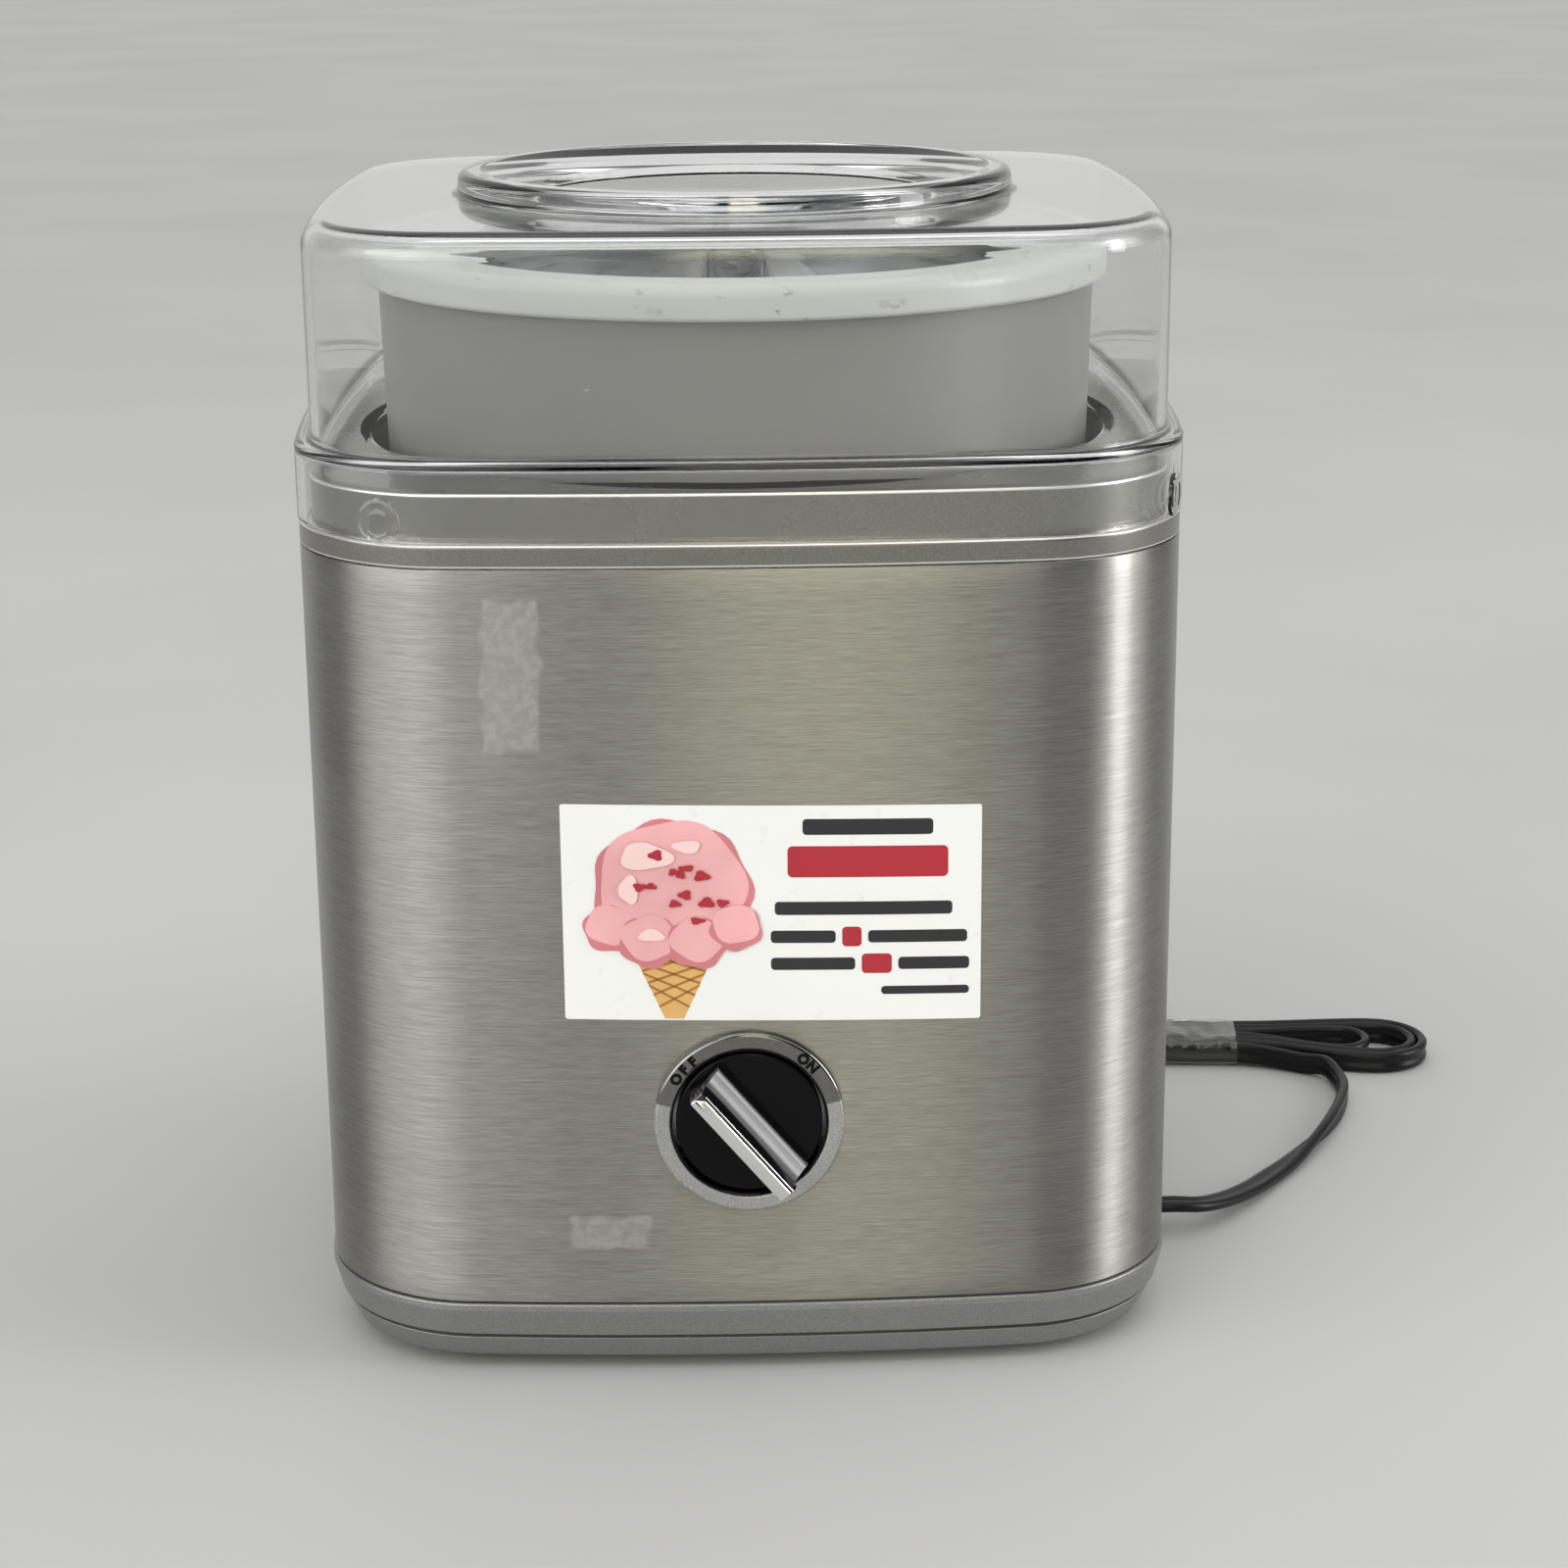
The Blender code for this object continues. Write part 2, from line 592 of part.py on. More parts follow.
def build_motor(motor_axis):
    """Laminated frame, the coil on its back leg, and the two straps that carry the shaft."""
    low, high = STACK_Z
    frame = box_outline(-STACK_HALF_WIDTH, STACK_HALF_WIDTH, STACK_FRONT, STACK_BACK)
    core = prism("motor_core", frame, low, high, "laminated_iron", motor_axis)
    window = box_outline(-COIL_HALF_LENGTH - 2, COIL_HALF_LENGTH + 2, *COIL_WINDOW)
    cuts = [column(window, low - 1, high + 1), column(circle(ROTOR_R + 0.6, 24), low - 1, high + 1)]
    combine(core, cuts, 'DIFFERENCE')
    leg = (COIL_WINDOW[1], STACK_BACK)
    rings = []
    for grow, end in ((COIL_BUILD, -1), (COIL_BUILD, 1), (0.5, 1), (0.5, -1)):
        x = end * COIL_HALF_LENGTH
        rings.append([
            (x, leg[0] - grow, low - grow), (x, leg[1] + grow, low - grow),
            (x, leg[1] + grow, high + grow), (x, leg[0] - grow, high + grow),
        ])
    loft("motor_coil", rings, "copper_coil", motor_axis, closed=True)
    for name, foot_z, strap_z in (("upper", high, high + 9), ("lower", low, low - 9)):
        build_motor_strap(f"motor_strap_{name}", foot_z, strap_z, motor_axis)


def build_motor_strap(name, foot_z, strap_z, motor_axis):
    """A flat strap across the rotor with a leg at each end that stands on the frame."""
    away = 1 if strap_z > foot_z else -1
    foot = foot_z + away * GAP
    reach = STACK_HALF_WIDTH
    leg = 3.0
    section = [
        (-reach, foot), (-reach + leg, foot), (-reach + leg, strap_z - away * 2),
        (reach - leg, strap_z - away * 2), (reach - leg, foot), (reach, foot),
        (reach, strap_z), (-reach, strap_z),
    ]
    rings = [[(x, y, z) for x, z in section] for y in (-7.0, 7.0)]
    strap = loft(name, rings, "bright_metal", motor_axis)
    hole = column(circle(MOTOR_SHAFT_R + GAP, SHAFT_STEPS), min(foot, strap_z) - 1, max(foot, strap_z) + 1)
    combine(strap, [hole], 'DIFFERENCE')


# ---------------------------------------------------------------- bowl, paddle and lid

def wall_radius(inset, z):
    """Radius at height z of the surface that lies inset mm inside the bowl's outer wall."""
    taper = (z - BOWL_BOTTOM) / (BOWL_WALL_TOP - BOWL_BOTTOM)
    return BOWL_FLOOR_R + (BOWL_R - BOWL_FLOOR_R) * taper - inset


def cup(name, outer_inset, inner_inset, floor, inner_floor, finish, parent):
    """A cup between two nested surfaces, closed by a flat rim."""
    corner = 5.0
    profile = [
        (wall_radius(outer_inset + corner, floor), floor),
        (wall_radius(outer_inset + 1.3, floor), floor + 1.3),
        (wall_radius(outer_inset, floor + corner), floor + corner),
        (wall_radius(outer_inset, BOWL_WALL_TOP), BOWL_WALL_TOP),
        (wall_radius(inner_inset, BOWL_WALL_TOP), BOWL_WALL_TOP),
        (wall_radius(inner_inset, inner_floor + corner), inner_floor + corner),
        (wall_radius(inner_inset + 1.3, inner_floor), inner_floor + 1.3),
        (wall_radius(inner_inset + corner, inner_floor), inner_floor),
    ]
    return turned(name, profile, finish, parent)


def build_bowl(bowl_axis):
    socket_top = HUB_TOP + 1.2
    hexagon = circle(HUB_R + 0.7, 6)
    shell_floor = BOWL_BOTTOM + SHELL_WALL
    shell = cup("bowl_shell", 0, SHELL_WALL, BOWL_BOTTOM, shell_floor, "grey_plastic", bowl_axis)
    boss_top = socket_top + SHELL_WALL
    combine(shell, [column(circle(HUB_R + 4, 24), BOWL_BOTTOM + 0.5, boss_top)], 'UNION')
    combine(shell, [column(hexagon, BOWL_BOTTOM - 1, socket_top)], 'DIFFERENCE')
    core_inset = SHELL_WALL + GAP
    core_floor = shell_floor + GAP
    liner_inset = core_inset + COOLANT_WALL + GAP
    liner_floor = BOWL_INSIDE_FLOOR - LINER_WALL
    core = cup("bowl_coolant", core_inset, core_inset + COOLANT_WALL, core_floor,
               liner_floor - GAP, "blue_gel", bowl_axis)
    recess = column(circle(HUB_R + 5, 24), core_floor - 1, boss_top + GAP)
    combine(core, [recess], 'DIFFERENCE')
    cup("bowl_liner", liner_inset, liner_inset + LINER_WALL, liner_floor, BOWL_INSIDE_FLOOR,
        "aluminium", bowl_axis)
    inner_r = wall_radius(liner_inset + LINER_WALL, BOWL_WALL_TOP)
    seat = BOWL_WALL_TOP + GAP
    rim = [
        (BOWL_RIM_R, BOWL_RIM_BOTTOM), (BOWL_RIM_R, BOWL_RIM_TOP - 2.4),
        (BOWL_RIM_R - 1.1, BOWL_RIM_TOP - 0.7), (BOWL_RIM_R - 3.0, BOWL_RIM_TOP),
        (inner_r + 3.5, BOWL_RIM_TOP), (inner_r + 0.8, BOWL_RIM_TOP - 0.9), (inner_r, BOWL_RIM_TOP - 2.6),
        (inner_r, seat), (BOWL_R + 0.6, seat), (BOWL_R + 0.6, BOWL_RIM_BOTTOM),
    ]
    turned("bowl_rim", rim, "white_plastic", bowl_axis, closed=True)


def build_paddle(axis):
    """A flat blade with two windows, a scraping edge each side and a bar across its top."""
    inset = SHELL_WALL + COOLANT_WALL + LINER_WALL + 2 * GAP + PADDLE_CLEAR
    low = BOWL_INSIDE_FLOOR + PADDLE_CLEAR
    foot_r = wall_radius(inset + 3, low + 3)
    top_r = wall_radius(inset, PADDLE_TOP - 10)
    half = PADDLE_THICK / 2
    right_side = [(foot_r - 5, low), (foot_r, low + 5), (top_r, PADDLE_TOP - 10), (top_r - 6, PADDLE_TOP)]
    outline = right_side + [(-x, z) for x, z in reversed(right_side)]
    rings = [[(x, y, z) for x, z in outline] for y in (-half, half)]
    paddle = loft("mixing_paddle", rings, "clear_plastic", axis)
    cuts = []
    for side in (-1, 1):
        inner, outer = 9.0, foot_r - 11
        window = [
            (side * inner, low + 14), (side * outer, low + 14),
            (side * outer, PADDLE_TOP - 30), (side * inner, PADDLE_TOP - 18),
        ]
        cuts.append([[(x, y, z) for x, z in window] for y in (-half - 1, half + 1)])
    combine(paddle, cuts, 'DIFFERENCE')
    hub = column(circle(7.0, 16), low - PADDLE_CLEAR + GAP, PADDLE_TOP - 1)
    combine(paddle, [hub], 'UNION')


def build_lid(axis):
    """Clear cover: a skirt over the collar, a dome round the bowl and a raised pouring ring."""
    skirt_inner = SKIRT_WALL - SKIRT_OUT
    wall_inner = LID_INSET + LID_WALL
    roof_under = LID_TOP - LID_WALL
    rings = [
        at_height(housing_outline(-SKIRT_OUT), LIP_TOP + GAP),
        at_height(housing_outline(-SKIRT_OUT), SKIRT_TOP - 1.0),
        at_height(housing_outline(0.7), SKIRT_TOP),
        at_height(housing_outline(LID_INSET - 0.3), SKIRT_TOP + 0.3),
        at_height(housing_outline(LID_INSET), LID_TOP - 5.3),
        at_height(housing_outline(LID_INSET + 1.6), LID_TOP - 1.6),
        at_height(housing_outline(LID_INSET + 5.3), LID_TOP),
        at_height(circle_facing_outline(SPOUT_R), LID_TOP),
        at_height(circle_facing_outline(SPOUT_R), LID_TOP + 2.4),
        at_height(circle_facing_outline(SPOUT_R - 2.0), SPOUT_TOP - 1.0),
        at_height(circle_facing_outline(SPOUT_R - 5.5), SPOUT_TOP),
        at_height(circle_facing_outline(SPOUT_R - 12.0), SPOUT_TOP - 1.6),
        at_height(circle_facing_outline(SPOUT_HOLE_R + 0.8), LID_TOP),
        at_height(circle_facing_outline(SPOUT_HOLE_R), roof_under),
        at_height(housing_outline(wall_inner + 3.5), roof_under),
        at_height(housing_outline(wall_inner), roof_under - 3.5),
        at_height(housing_outline(wall_inner), SKIRT_TOP - LID_WALL),
        at_height(housing_outline(skirt_inner), SKIRT_TOP - LID_WALL),
        at_height(housing_outline(skirt_inner), LIP_TOP + GAP),
    ]
    loft("clear_lid", rings, "clear_plastic", axis, closed=True)


# ---------------------------------------------------------------- knob and switch

def build_dial(panel):
    """Dial ring: a cup set through the steel, whose front flange shows round the knob."""
    profile = [
        (BEZEL_R, GAP), (BEZEL_R, BEZEL_OUT - 0.9), (BEZEL_R - 0.9, BEZEL_OUT),
        (BEZEL_HOLE_R + 0.4, BEZEL_OUT), (BEZEL_HOLE_R, BEZEL_OUT - 0.4), (BEZEL_HOLE_R, -5.5),
        (KNOB_SHAFT_R + 0.6, -5.5), (KNOB_SHAFT_R + 0.6, -7.5), (BEZEL_HOLE_R + 1.4, -7.5),
        (BEZEL_HOLE_R + 1.4, GAP),
    ]
    turned("dial_ring", profile, "painted_silver", panel, 32, closed=True)


def handle_section():
    """Across the handle (v) against out from the steel (w): straight one side, scooped the other."""
    top = KNOB_OUT - 0.8
    scoop = []
    for step in range(1, 6):
        t = step / 5
        scoop.append((-0.3 + 4.6 * t ** 1.6, top - 0.5 - (top - 2.5) * t ** 0.62))
    return [(-4.3, 1.6), (4.3, 1.6)] + scoop[::-1] + [(-0.3, top - 0.4), (-0.8, top), (-4.3, top)]


def build_knob(panel, knob_axis):
    """Black dial with a bar handle, the silver strip along it, and the switch shaft behind."""
    bore_r = KNOB_SHAFT_R + GAP
    dial = [
        (bore_r, 0.5), (bore_r, -4.8), (DIAL_R, -4.8), (DIAL_R, 1.5), (DIAL_R - 0.7, 2.2), (DIAL_R - 2, 2.4),
    ]
    knob = turned("knob_dial", dial, "black_gloss", knob_axis, 32)
    along = Vector((math.cos(POINTER_ANGLE), math.sin(POINTER_ANGLE)))
    across = Vector((along.y, -along.x))

    def bar_ring(u, section):
        return [(*(along * u + across * v), w) for v, w in section]

    section = handle_section()
    bar = [bar_ring(-HANDLE_HALF_LENGTH, section), bar_ring(HANDLE_HALF_LENGTH, section)]
    combine(knob, [bar], 'UNION')
    strip_low = KNOB_OUT - 0.8 + GAP
    strip = [(-4.1, strip_low), (-1.0, strip_low), (-1.0, KNOB_OUT), (-4.1, KNOB_OUT)]
    ends = (-HANDLE_HALF_LENGTH + 0.2, HANDLE_HALF_LENGTH - 0.2)
    loft("knob_strip", [bar_ring(u, strip) for u in ends], "bright_metal", knob_axis)
    shaft = [(KNOB_SHAFT_R, SWITCH_DEPTH[0] + 6), (KNOB_SHAFT_R, 0.2)]
    turned("knob_shaft", shaft, "bright_metal", knob_axis, SHAFT_STEPS)


def build_switch(panel):
    """Rotary switch on a bracket that stands on the floor pan behind the dial."""
    low, high = SWITCH_DEPTH
    square = box_outline(-SWITCH_HALF, SWITCH_HALF, -SWITCH_HALF, SWITCH_HALF)
    switch = prism("rotary_switch", square, low, high, "black_gloss", panel)
    bore = column(circle(KNOB_SHAFT_R + 0.5, SHAFT_STEPS), low + 5, high + 1)
    combine(switch, [bore], 'DIFFERENCE')
    foot = -(KNOB_Z - BASE_BOTTOM - BASE_WALL - GAP)
    section = [
        (high + GAP, 16.0), (high + GAP + 1.5, 16.0), (high + GAP + 1.5, foot),
        (low, foot), (low, foot + 1.5), (high + GAP, foot + 1.5),
    ]
    rings = [[(x, y, z) for z, y in section] for x in (-17.0, 17.0)]
    bracket = loft("switch_bracket", rings, "bright_metal", panel)
    hole = column(circle(KNOB_SHAFT_R + 1, SHAFT_STEPS), high - 2, high + 5)
    combine(bracket, [hole], 'DIFFERENCE')


# ---------------------------------------------------------------- cord

def smooth_route(points, spacing):
    """Evenly spaced points on a smooth curve through the given ones."""
    fine = []
    ends = [2 * points[0] - points[1]] + points + [2 * points[-1] - points[-2]]
    for a, b, c, d in zip(ends, ends[1:], ends[2:], ends[3:]):
        for step in range(12):
            t = step / 12
            fine.append(0.5 * (2 * b + (c - a) * t + (2 * a - 5 * b + 4 * c - d) * t * t
                               + (3 * b - a - 3 * c + d) * t ** 3))
    fine.append(points[-1])
    total = sum((b - a).length for a, b in zip(fine, fine[1:]))
    count = round(total / spacing)
    route = [fine[0]]
    walked = 0.0
    for a, b in zip(fine, fine[1:]):
        step_length = (b - a).length
        while len(route) < count and walked + step_length >= total * len(route) / count:
            route.append(a.lerp(b, (total * len(route) / count - walked) / step_length))
        walked += step_length
    return route + [fine[-1]]


def tube(name, points, radius, finish, parent, resolution=2):
    curve = bpy.data.curves.new(name, 'CURVE')
    curve.dimensions = '3D'
    curve.bevel_depth = radius * MM
    curve.bevel_resolution = resolution
    curve.use_fill_caps = True
    spline = curve.splines.new('POLY')
    spline.points.add(len(points) - 1)
    for slot, p in zip(spline.points, points):
        slot.co = (*(p * MM), 1.0)
    curve.materials.append(finish_material(name, finish))
    obj = bpy.data.objects.new(name, curve)
    obj.parent = parent
    bpy.context.collection.objects.link(obj)
    return obj


def hank_outline():
    """Long rounded loop bundle, pinched where the tape holds it, in the hank's own frame."""
    points = []
    for step in range(HANK_STEPS):
        angle = math.tau * step / HANK_STEPS
        x = HANK_HALF[0] * math.cos(angle)
        fullness = (1 - abs(math.cos(angle)) ** HANK_FULLNESS) ** (1 / HANK_FULLNESS)
        y = math.copysign(HANK_HALF[1] * fullness, math.sin(angle))
        points.append((x, y * waist(x)))
    return points


def waist(x):
    return 1 - WAIST_PINCH * math.exp(-((x - TAPE_FROM_CENTRE) / WAIST_SPREAD) ** 2)


def build_hank(hank_axis):
    low, high = HANK_Z
    outline = hank_outline()
    rings = []
    for scale, z in ((0.93, low), (1.0, low + 2), (1.0, high - 2), (0.93, high)):
        rings.append([(x * scale, y * scale, z) for x, y in outline])
    loft("cord_hank", rings, "black_rubber", hank_axis)
    tape_rings = []
    for step in range(5):
        x = TAPE_FROM_CENTRE + TAPE_HALF_WIDTH * (step / 2 - 1)
        inner_y = HANK_HALF[1] * waist(x) + 3 * GAP
        tape_rings.append((x, inner_y))
    outer = []
    inner = []
    for x, y in tape_rings:
        inner.append(tape_section(x, y, low - GAP, high + GAP))
        outer.append(tape_section(x, y + TAPE_THICK, low - GAP - TAPE_THICK, high + GAP + TAPE_THICK))
    loft("hank_tape", outer + inner[::-1], "clear_plastic", hank_axis, closed=True)


def tape_section(x, half_y, low, high):
    chamfer = 0.6
    return [
        (x, -half_y, low + chamfer), (x, -half_y + chamfer, low), (x, half_y - chamfer, low),
        (x, half_y, low + chamfer), (x, half_y, high - chamfer), (x, half_y - chamfer, high),
        (x, -half_y + chamfer, high), (x, -half_y, high - chamfer),
    ]


def build_plug(hank_axis):
    """Two-blade moulded plug that lies on the ground at the hidden end of the hank."""
    start = -HANK_HALF[0] - GAP
    half_y, half_z = PLUG_HALF
    middle_z = half_z + 0.2
    shift = 2.5
    sections = [
        (0, 3.4, 3.4, 0.0), (PLUG_TAIL * 0.6, 4.4, 4.2, 0.3), (PLUG_TAIL, half_y * 0.7, half_z * 0.75, 0.7),
        (PLUG_TAIL + 5, half_y, half_z, 1.0), (PLUG_TAIL + PLUG_LENGTH - 2, half_y, half_z, 1.0),
        (PLUG_TAIL + PLUG_LENGTH, half_y - 1.5, half_z - 1.5, 1.0),
    ]
    rings = []
    for distance, wide, tall, moved in sections:
        rings.append([
            (start - distance, shift * moved + y, CORD_D / 2 + 2 + (middle_z - CORD_D / 2 - 2) * moved + z)
            for y, z in rounded_box(wide, tall)
        ])
    loft("power_plug", rings, "black_rubber", hank_axis)
    face = start - PLUG_TAIL - PLUG_LENGTH - GAP
    for name, side in (("plug_blade_front", -1), ("plug_blade_back", 1)):
        y = shift + side * 6.35
        blade = box_outline(face - 16, face, y - 0.75, y + 0.75)
        prism(name, blade, middle_z - 3.2, middle_z + 3.2, "brass", hank_axis)


def rounded_box(half_y, half_z):
    """Twelve points round a box with cut corners."""
    cut = 0.35 * min(half_y, half_z)
    quarter = [(half_y, half_z - cut), (half_y - 0.3 * cut, half_z - 0.3 * cut), (half_y - cut, half_z)]
    mirrored = [(-y, z) for y, z in quarter[::-1]]
    upper = quarter + mirrored
    return upper + [(-y, -z) for y, z in upper]


def build_cord(axis):
    """Strain relief in the floor pan's cut-out, and the free strand that curves back to the hank."""
    reach = RELIEF_X[1] - RELIEF_X[0]
    wall = RELIEF_COLLAR_X - RELIEF_X[0]
    relief = [
        (3.9, 0), (4.3, wall - 3.5), (6.0, wall - 3.2), (6.0, wall - 0.6), (4.6, wall - 0.3),
        (4.6, wall + 2.6), (5.3, wall + 2.9), (5.0, wall + 3.8), (3.7, reach),
    ]
    piece = turned("strain_relief", relief, "black_rubber", axis, 12)
    piece.location = Vector((RELIEF_X[0], CORD_Y, CORD_EXIT_Z)) * MM
    piece.rotation_euler = (0, math.radians(90), 0)
    rest_z = CORD_D / 2 + 0.1
    route = [
        Vector((RELIEF_X[1] + GAP, CORD_Y, CORD_EXIT_Z)),
        Vector((113.5, CORD_Y, CORD_EXIT_Z)),
        Vector((119.5, -19.0, 7.2)),
        Vector((125.3, -14.0, 6.2)),
        Vector((131.2, -7.2, 5.2)),
        Vector((137.4, 0.8, 4.4)),
        Vector((144.2, 10.6, 3.8)),
        Vector((151.2, 20.6, rest_z)),
        Vector((158.0, 31.0, rest_z)),
        Vector((164.4, 41.6, rest_z)),
        Vector((169.6, 52.6, rest_z)),
        Vector((173.3, 63.4, rest_z)),
        Vector((174.9, 71.5, rest_z)),
        Vector((174.6, 79.6, rest_z + 0.2)),
        Vector((172.4, 87.1, rest_z + 0.8)),
    ]
    tube("power_cord", smooth_route(route, 4.6), CORD_D / 2, "black_rubber", axis)


def build_inner_leads(axis):
    """Leads held inside the base: from the strain relief to the switch, and on to the motor's coil."""
    _, motor = gear_distances()
    coil_x, coil_y = along_gear_line(motor)
    switch_back = -HALF_Y - SWITCH_DEPTH[0]
    supply = [
        Vector((RELIEF_X[0] - 2 * GAP, CORD_Y, CORD_EXIT_Z)), Vector((73, CORD_Y, CORD_EXIT_Z)),
        Vector((57, -24, 14)),
        Vector((40, -40, 26)), Vector((20, -54, 42)), Vector((8, -60, 56)),
        Vector((6, switch_back + 7, KNOB_Z - 6)), Vector((6, switch_back + 2 * GAP, KNOB_Z - 6)),
    ]
    tube("supply_lead", smooth_route(supply, 9.0), 2.6, "black_rubber", axis)
    side = coil_x + COIL_HALF_LENGTH + GAP
    coil_face = Vector((side, coil_y + STACK_BACK + 3, sum(STACK_Z) / 2))
    motor_lead = [
        Vector((-6, switch_back + 2 * GAP, KNOB_Z - 6)), Vector((-6, switch_back + 6, KNOB_Z - 6)),
        Vector((-2, -50, 46)), Vector((4, -24, 30)), Vector((8, 10, 24)), Vector((2, 44, 26)),
        Vector((-14, 68, 32)), coil_face + Vector((8, 0.5, 0)), coil_face,
    ]
    tube("motor_lead", smooth_route(motor_lead, 9.0), 1.8, "black_rubber", axis)


def build():
    clear_scene()
    axis = empty("machine_axis", (0, AXIS_Y, 0))
    bowl_axis = empty("bowl_axis", (0, 0, 0), axis)
    pin, motor = gear_distances()
    pin_axis = empty("intermediate_axis", (*along_gear_line(pin), 0), axis)
    motor_axis = empty("motor_axis", (*along_gear_line(motor), 0), axis)
    outwards = (math.radians(90), 0, 0)
    panel = empty("front_panel", (0, -HALF_Y, KNOB_Z), axis, outwards)
    knob_axis = empty("knob_axis", (0, 0, 0), panel)
    hank_axis = empty("hank_axis", (*HANK_CENTRE, 0), axis, (0, 0, HANK_TILT))
    build_bottom_cover(axis)
    build_steel_wrap(axis)
    build_collar(axis)
    build_well(axis)
    build_feet_and_screws(axis)
    build_gearbox(axis)
    build_output_drive(bowl_axis)
    build_gear_train(axis, pin_axis, motor_axis)
    build_motor(motor_axis)
    build_bowl(bowl_axis)
    build_paddle(axis)
    build_lid(axis)
    build_dial(panel)
    build_knob(panel, knob_axis)
    build_switch(panel)
    build_cord(axis)
    build_hank(hank_axis)
    build_plug(hank_axis)
    build_inner_leads(axis)


build()
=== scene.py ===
"""Looks of a countertop ice cream maker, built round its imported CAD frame.

Lengths are in millimetres from the machine's upright axis, and become metres in the frame's own
axes when a mesh is made. Places come from the frame; what the frame's boxes can't say, such as a
corner radius, is a named value below.
"""
import math
import random

import bmesh
import bpy
from mathutils import Matrix, Vector, noise


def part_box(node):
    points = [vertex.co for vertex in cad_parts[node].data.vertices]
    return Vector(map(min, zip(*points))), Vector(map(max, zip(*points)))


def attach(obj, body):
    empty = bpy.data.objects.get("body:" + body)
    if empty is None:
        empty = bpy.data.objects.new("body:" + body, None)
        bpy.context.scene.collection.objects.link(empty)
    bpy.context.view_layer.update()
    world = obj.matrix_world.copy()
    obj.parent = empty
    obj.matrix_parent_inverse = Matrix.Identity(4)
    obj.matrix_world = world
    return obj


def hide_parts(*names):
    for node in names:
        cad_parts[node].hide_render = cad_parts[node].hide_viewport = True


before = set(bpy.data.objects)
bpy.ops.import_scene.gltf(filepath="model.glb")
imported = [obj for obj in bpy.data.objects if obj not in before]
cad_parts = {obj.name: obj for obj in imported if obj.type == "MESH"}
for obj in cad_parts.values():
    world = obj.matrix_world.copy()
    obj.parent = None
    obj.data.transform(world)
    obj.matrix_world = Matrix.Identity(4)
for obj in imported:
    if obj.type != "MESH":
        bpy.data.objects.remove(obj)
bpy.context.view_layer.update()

MM = 0.001
GAP = 0.3

rim_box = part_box("bowl_rim")
AXIS = (rim_box[0] + rim_box[1]) / 2 / MM
AXIS.z = 0


def span(node):
    """A CAD node's lowest and highest corner, in mm from the machine's axis."""
    low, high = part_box(node)
    return low / MM - AXIS, high / MM - AXIS


# Housing outline, and the heights of the stack
STEEL_LOW, STEEL_HIGH = span("steel_wrap")
COVER_LOW, COVER_HIGH = span("bottom_cover")
COLLAR_LOW, COLLAR_HIGH = span("top_collar")
LID_LOW, LID_HIGH = span("clear_lid")
HALF_X, HALF_Y = STEEL_HIGH.x, STEEL_HIGH.y
CORNER_R = 36.8
BOW = 6.2
STEEL_WALL = 0.8
GROOVE_Z = 10.3
BASE_TOP = STEEL_LOW.z - GAP
LIP_BOTTOM = STEEL_HIGH.z + GAP
LIP_TOP = LID_LOW.z - GAP
COLLAR_TOP = COLLAR_HIGH.z
PLATE = 3.0
COLLAR_INSET = 3.0
SKIRT_TOP = 222.7
ROOF = 272.6
LID_WALL = 2.0
LID_INSET = 3.3
LID_OUTLINE_STEPS = (16, 24)
BOSS_FROM_SIDE = 24.3
BOSS_Z = 209.4
POST_XY = (82.0, 77.0)
CUP_R = 5.6
FOOT_XY = (66.0, 62.0)

# Old adhesive on the steel, as ranges of x and z in the frame's own axes
OLD_MARKS = ((-59.0, -46.5, 157.0, 191.5), (-43.0, -24.0, 34.0, 42.0))

# Bowl, well and paddle
WELL_HIGH = span("bowl_well")[1]
SHELL_LOW, SHELL_HIGH = span("bowl_shell")
LINER_LOW, LINER_HIGH = span("bowl_liner")
RIM_LOW, RIM_HIGH = span("bowl_rim")
PADDLE_LOW, PADDLE_HIGH = span("mixing_paddle")
BOWL_FLOOR_R = 85.0
WELL_FLOOR_Z = 96.0
WELL_R = 92.4
WELL_WALL = 1.8
SHELL_WALL = 2.0
LINER_INSET = 17.2
LINER_WALL = 1.6
HUB_R = 20.0
SPOUT_R = 67.8
SPOUT_HOLE_R = 49.0

# Dial, measured out from the steel's front face
DIAL_LOW, DIAL_HIGH = span("dial_ring")
KNOB_Z = (DIAL_LOW.z + DIAL_HIGH.z) / 2
BEZEL_R = DIAL_HIGH.x
BEZEL_OUT = -HALF_Y - DIAL_LOW.y
BEZEL_HOLE_R = 18.5
DIAL_R = 17.15
KNOB_OUT = -HALF_Y - span("knob_strip")[0].y
POINTER_ANGLE = math.radians(130)
HANDLE_HALF = 16.3

# Label on the steel, as x and z
LABEL_X = (-42.4, 54.2)
LABEL_Z = (92.1, 144.2)
LABEL_TILT = 0.0165

# Flat twin lead, its hank and its plug
LEAD_WIDTH = 6.4
LEAD_THICK = 3.0
CORE_Y = (LEAD_WIDTH - LEAD_THICK) / 2
RELIEF_LOW, RELIEF_HIGH = span("strain_relief")
LEAD_Y = (RELIEF_LOW.y + RELIEF_HIGH.y) / 2
LEAD_Z = 8.0
COVER_FACE_X = 102.2
RUN_PITCH = 3.05
LOOP_PITCH = 3.2
HANK_CENTRE = Vector((146.3, 108.3, 0))
HANK_TILT = math.radians(-4)
TAPE_X = (-19.5, 2.5)
LOOP_CENTRE_X = 44.5
LAST_LOOP_X = 34.0
LOOP_R = 14.3
HANK_REST_Z = 3.3
HANK_WAIST_Z = 4.1
PLUG_X = -61.3
PLUG_TAIL = 10.0
PLUG_BODY = 26.0
BLADE_Y = {"front": -3.85, "back": 8.85}
BLADE_Z = 7.2


# ---- outlines

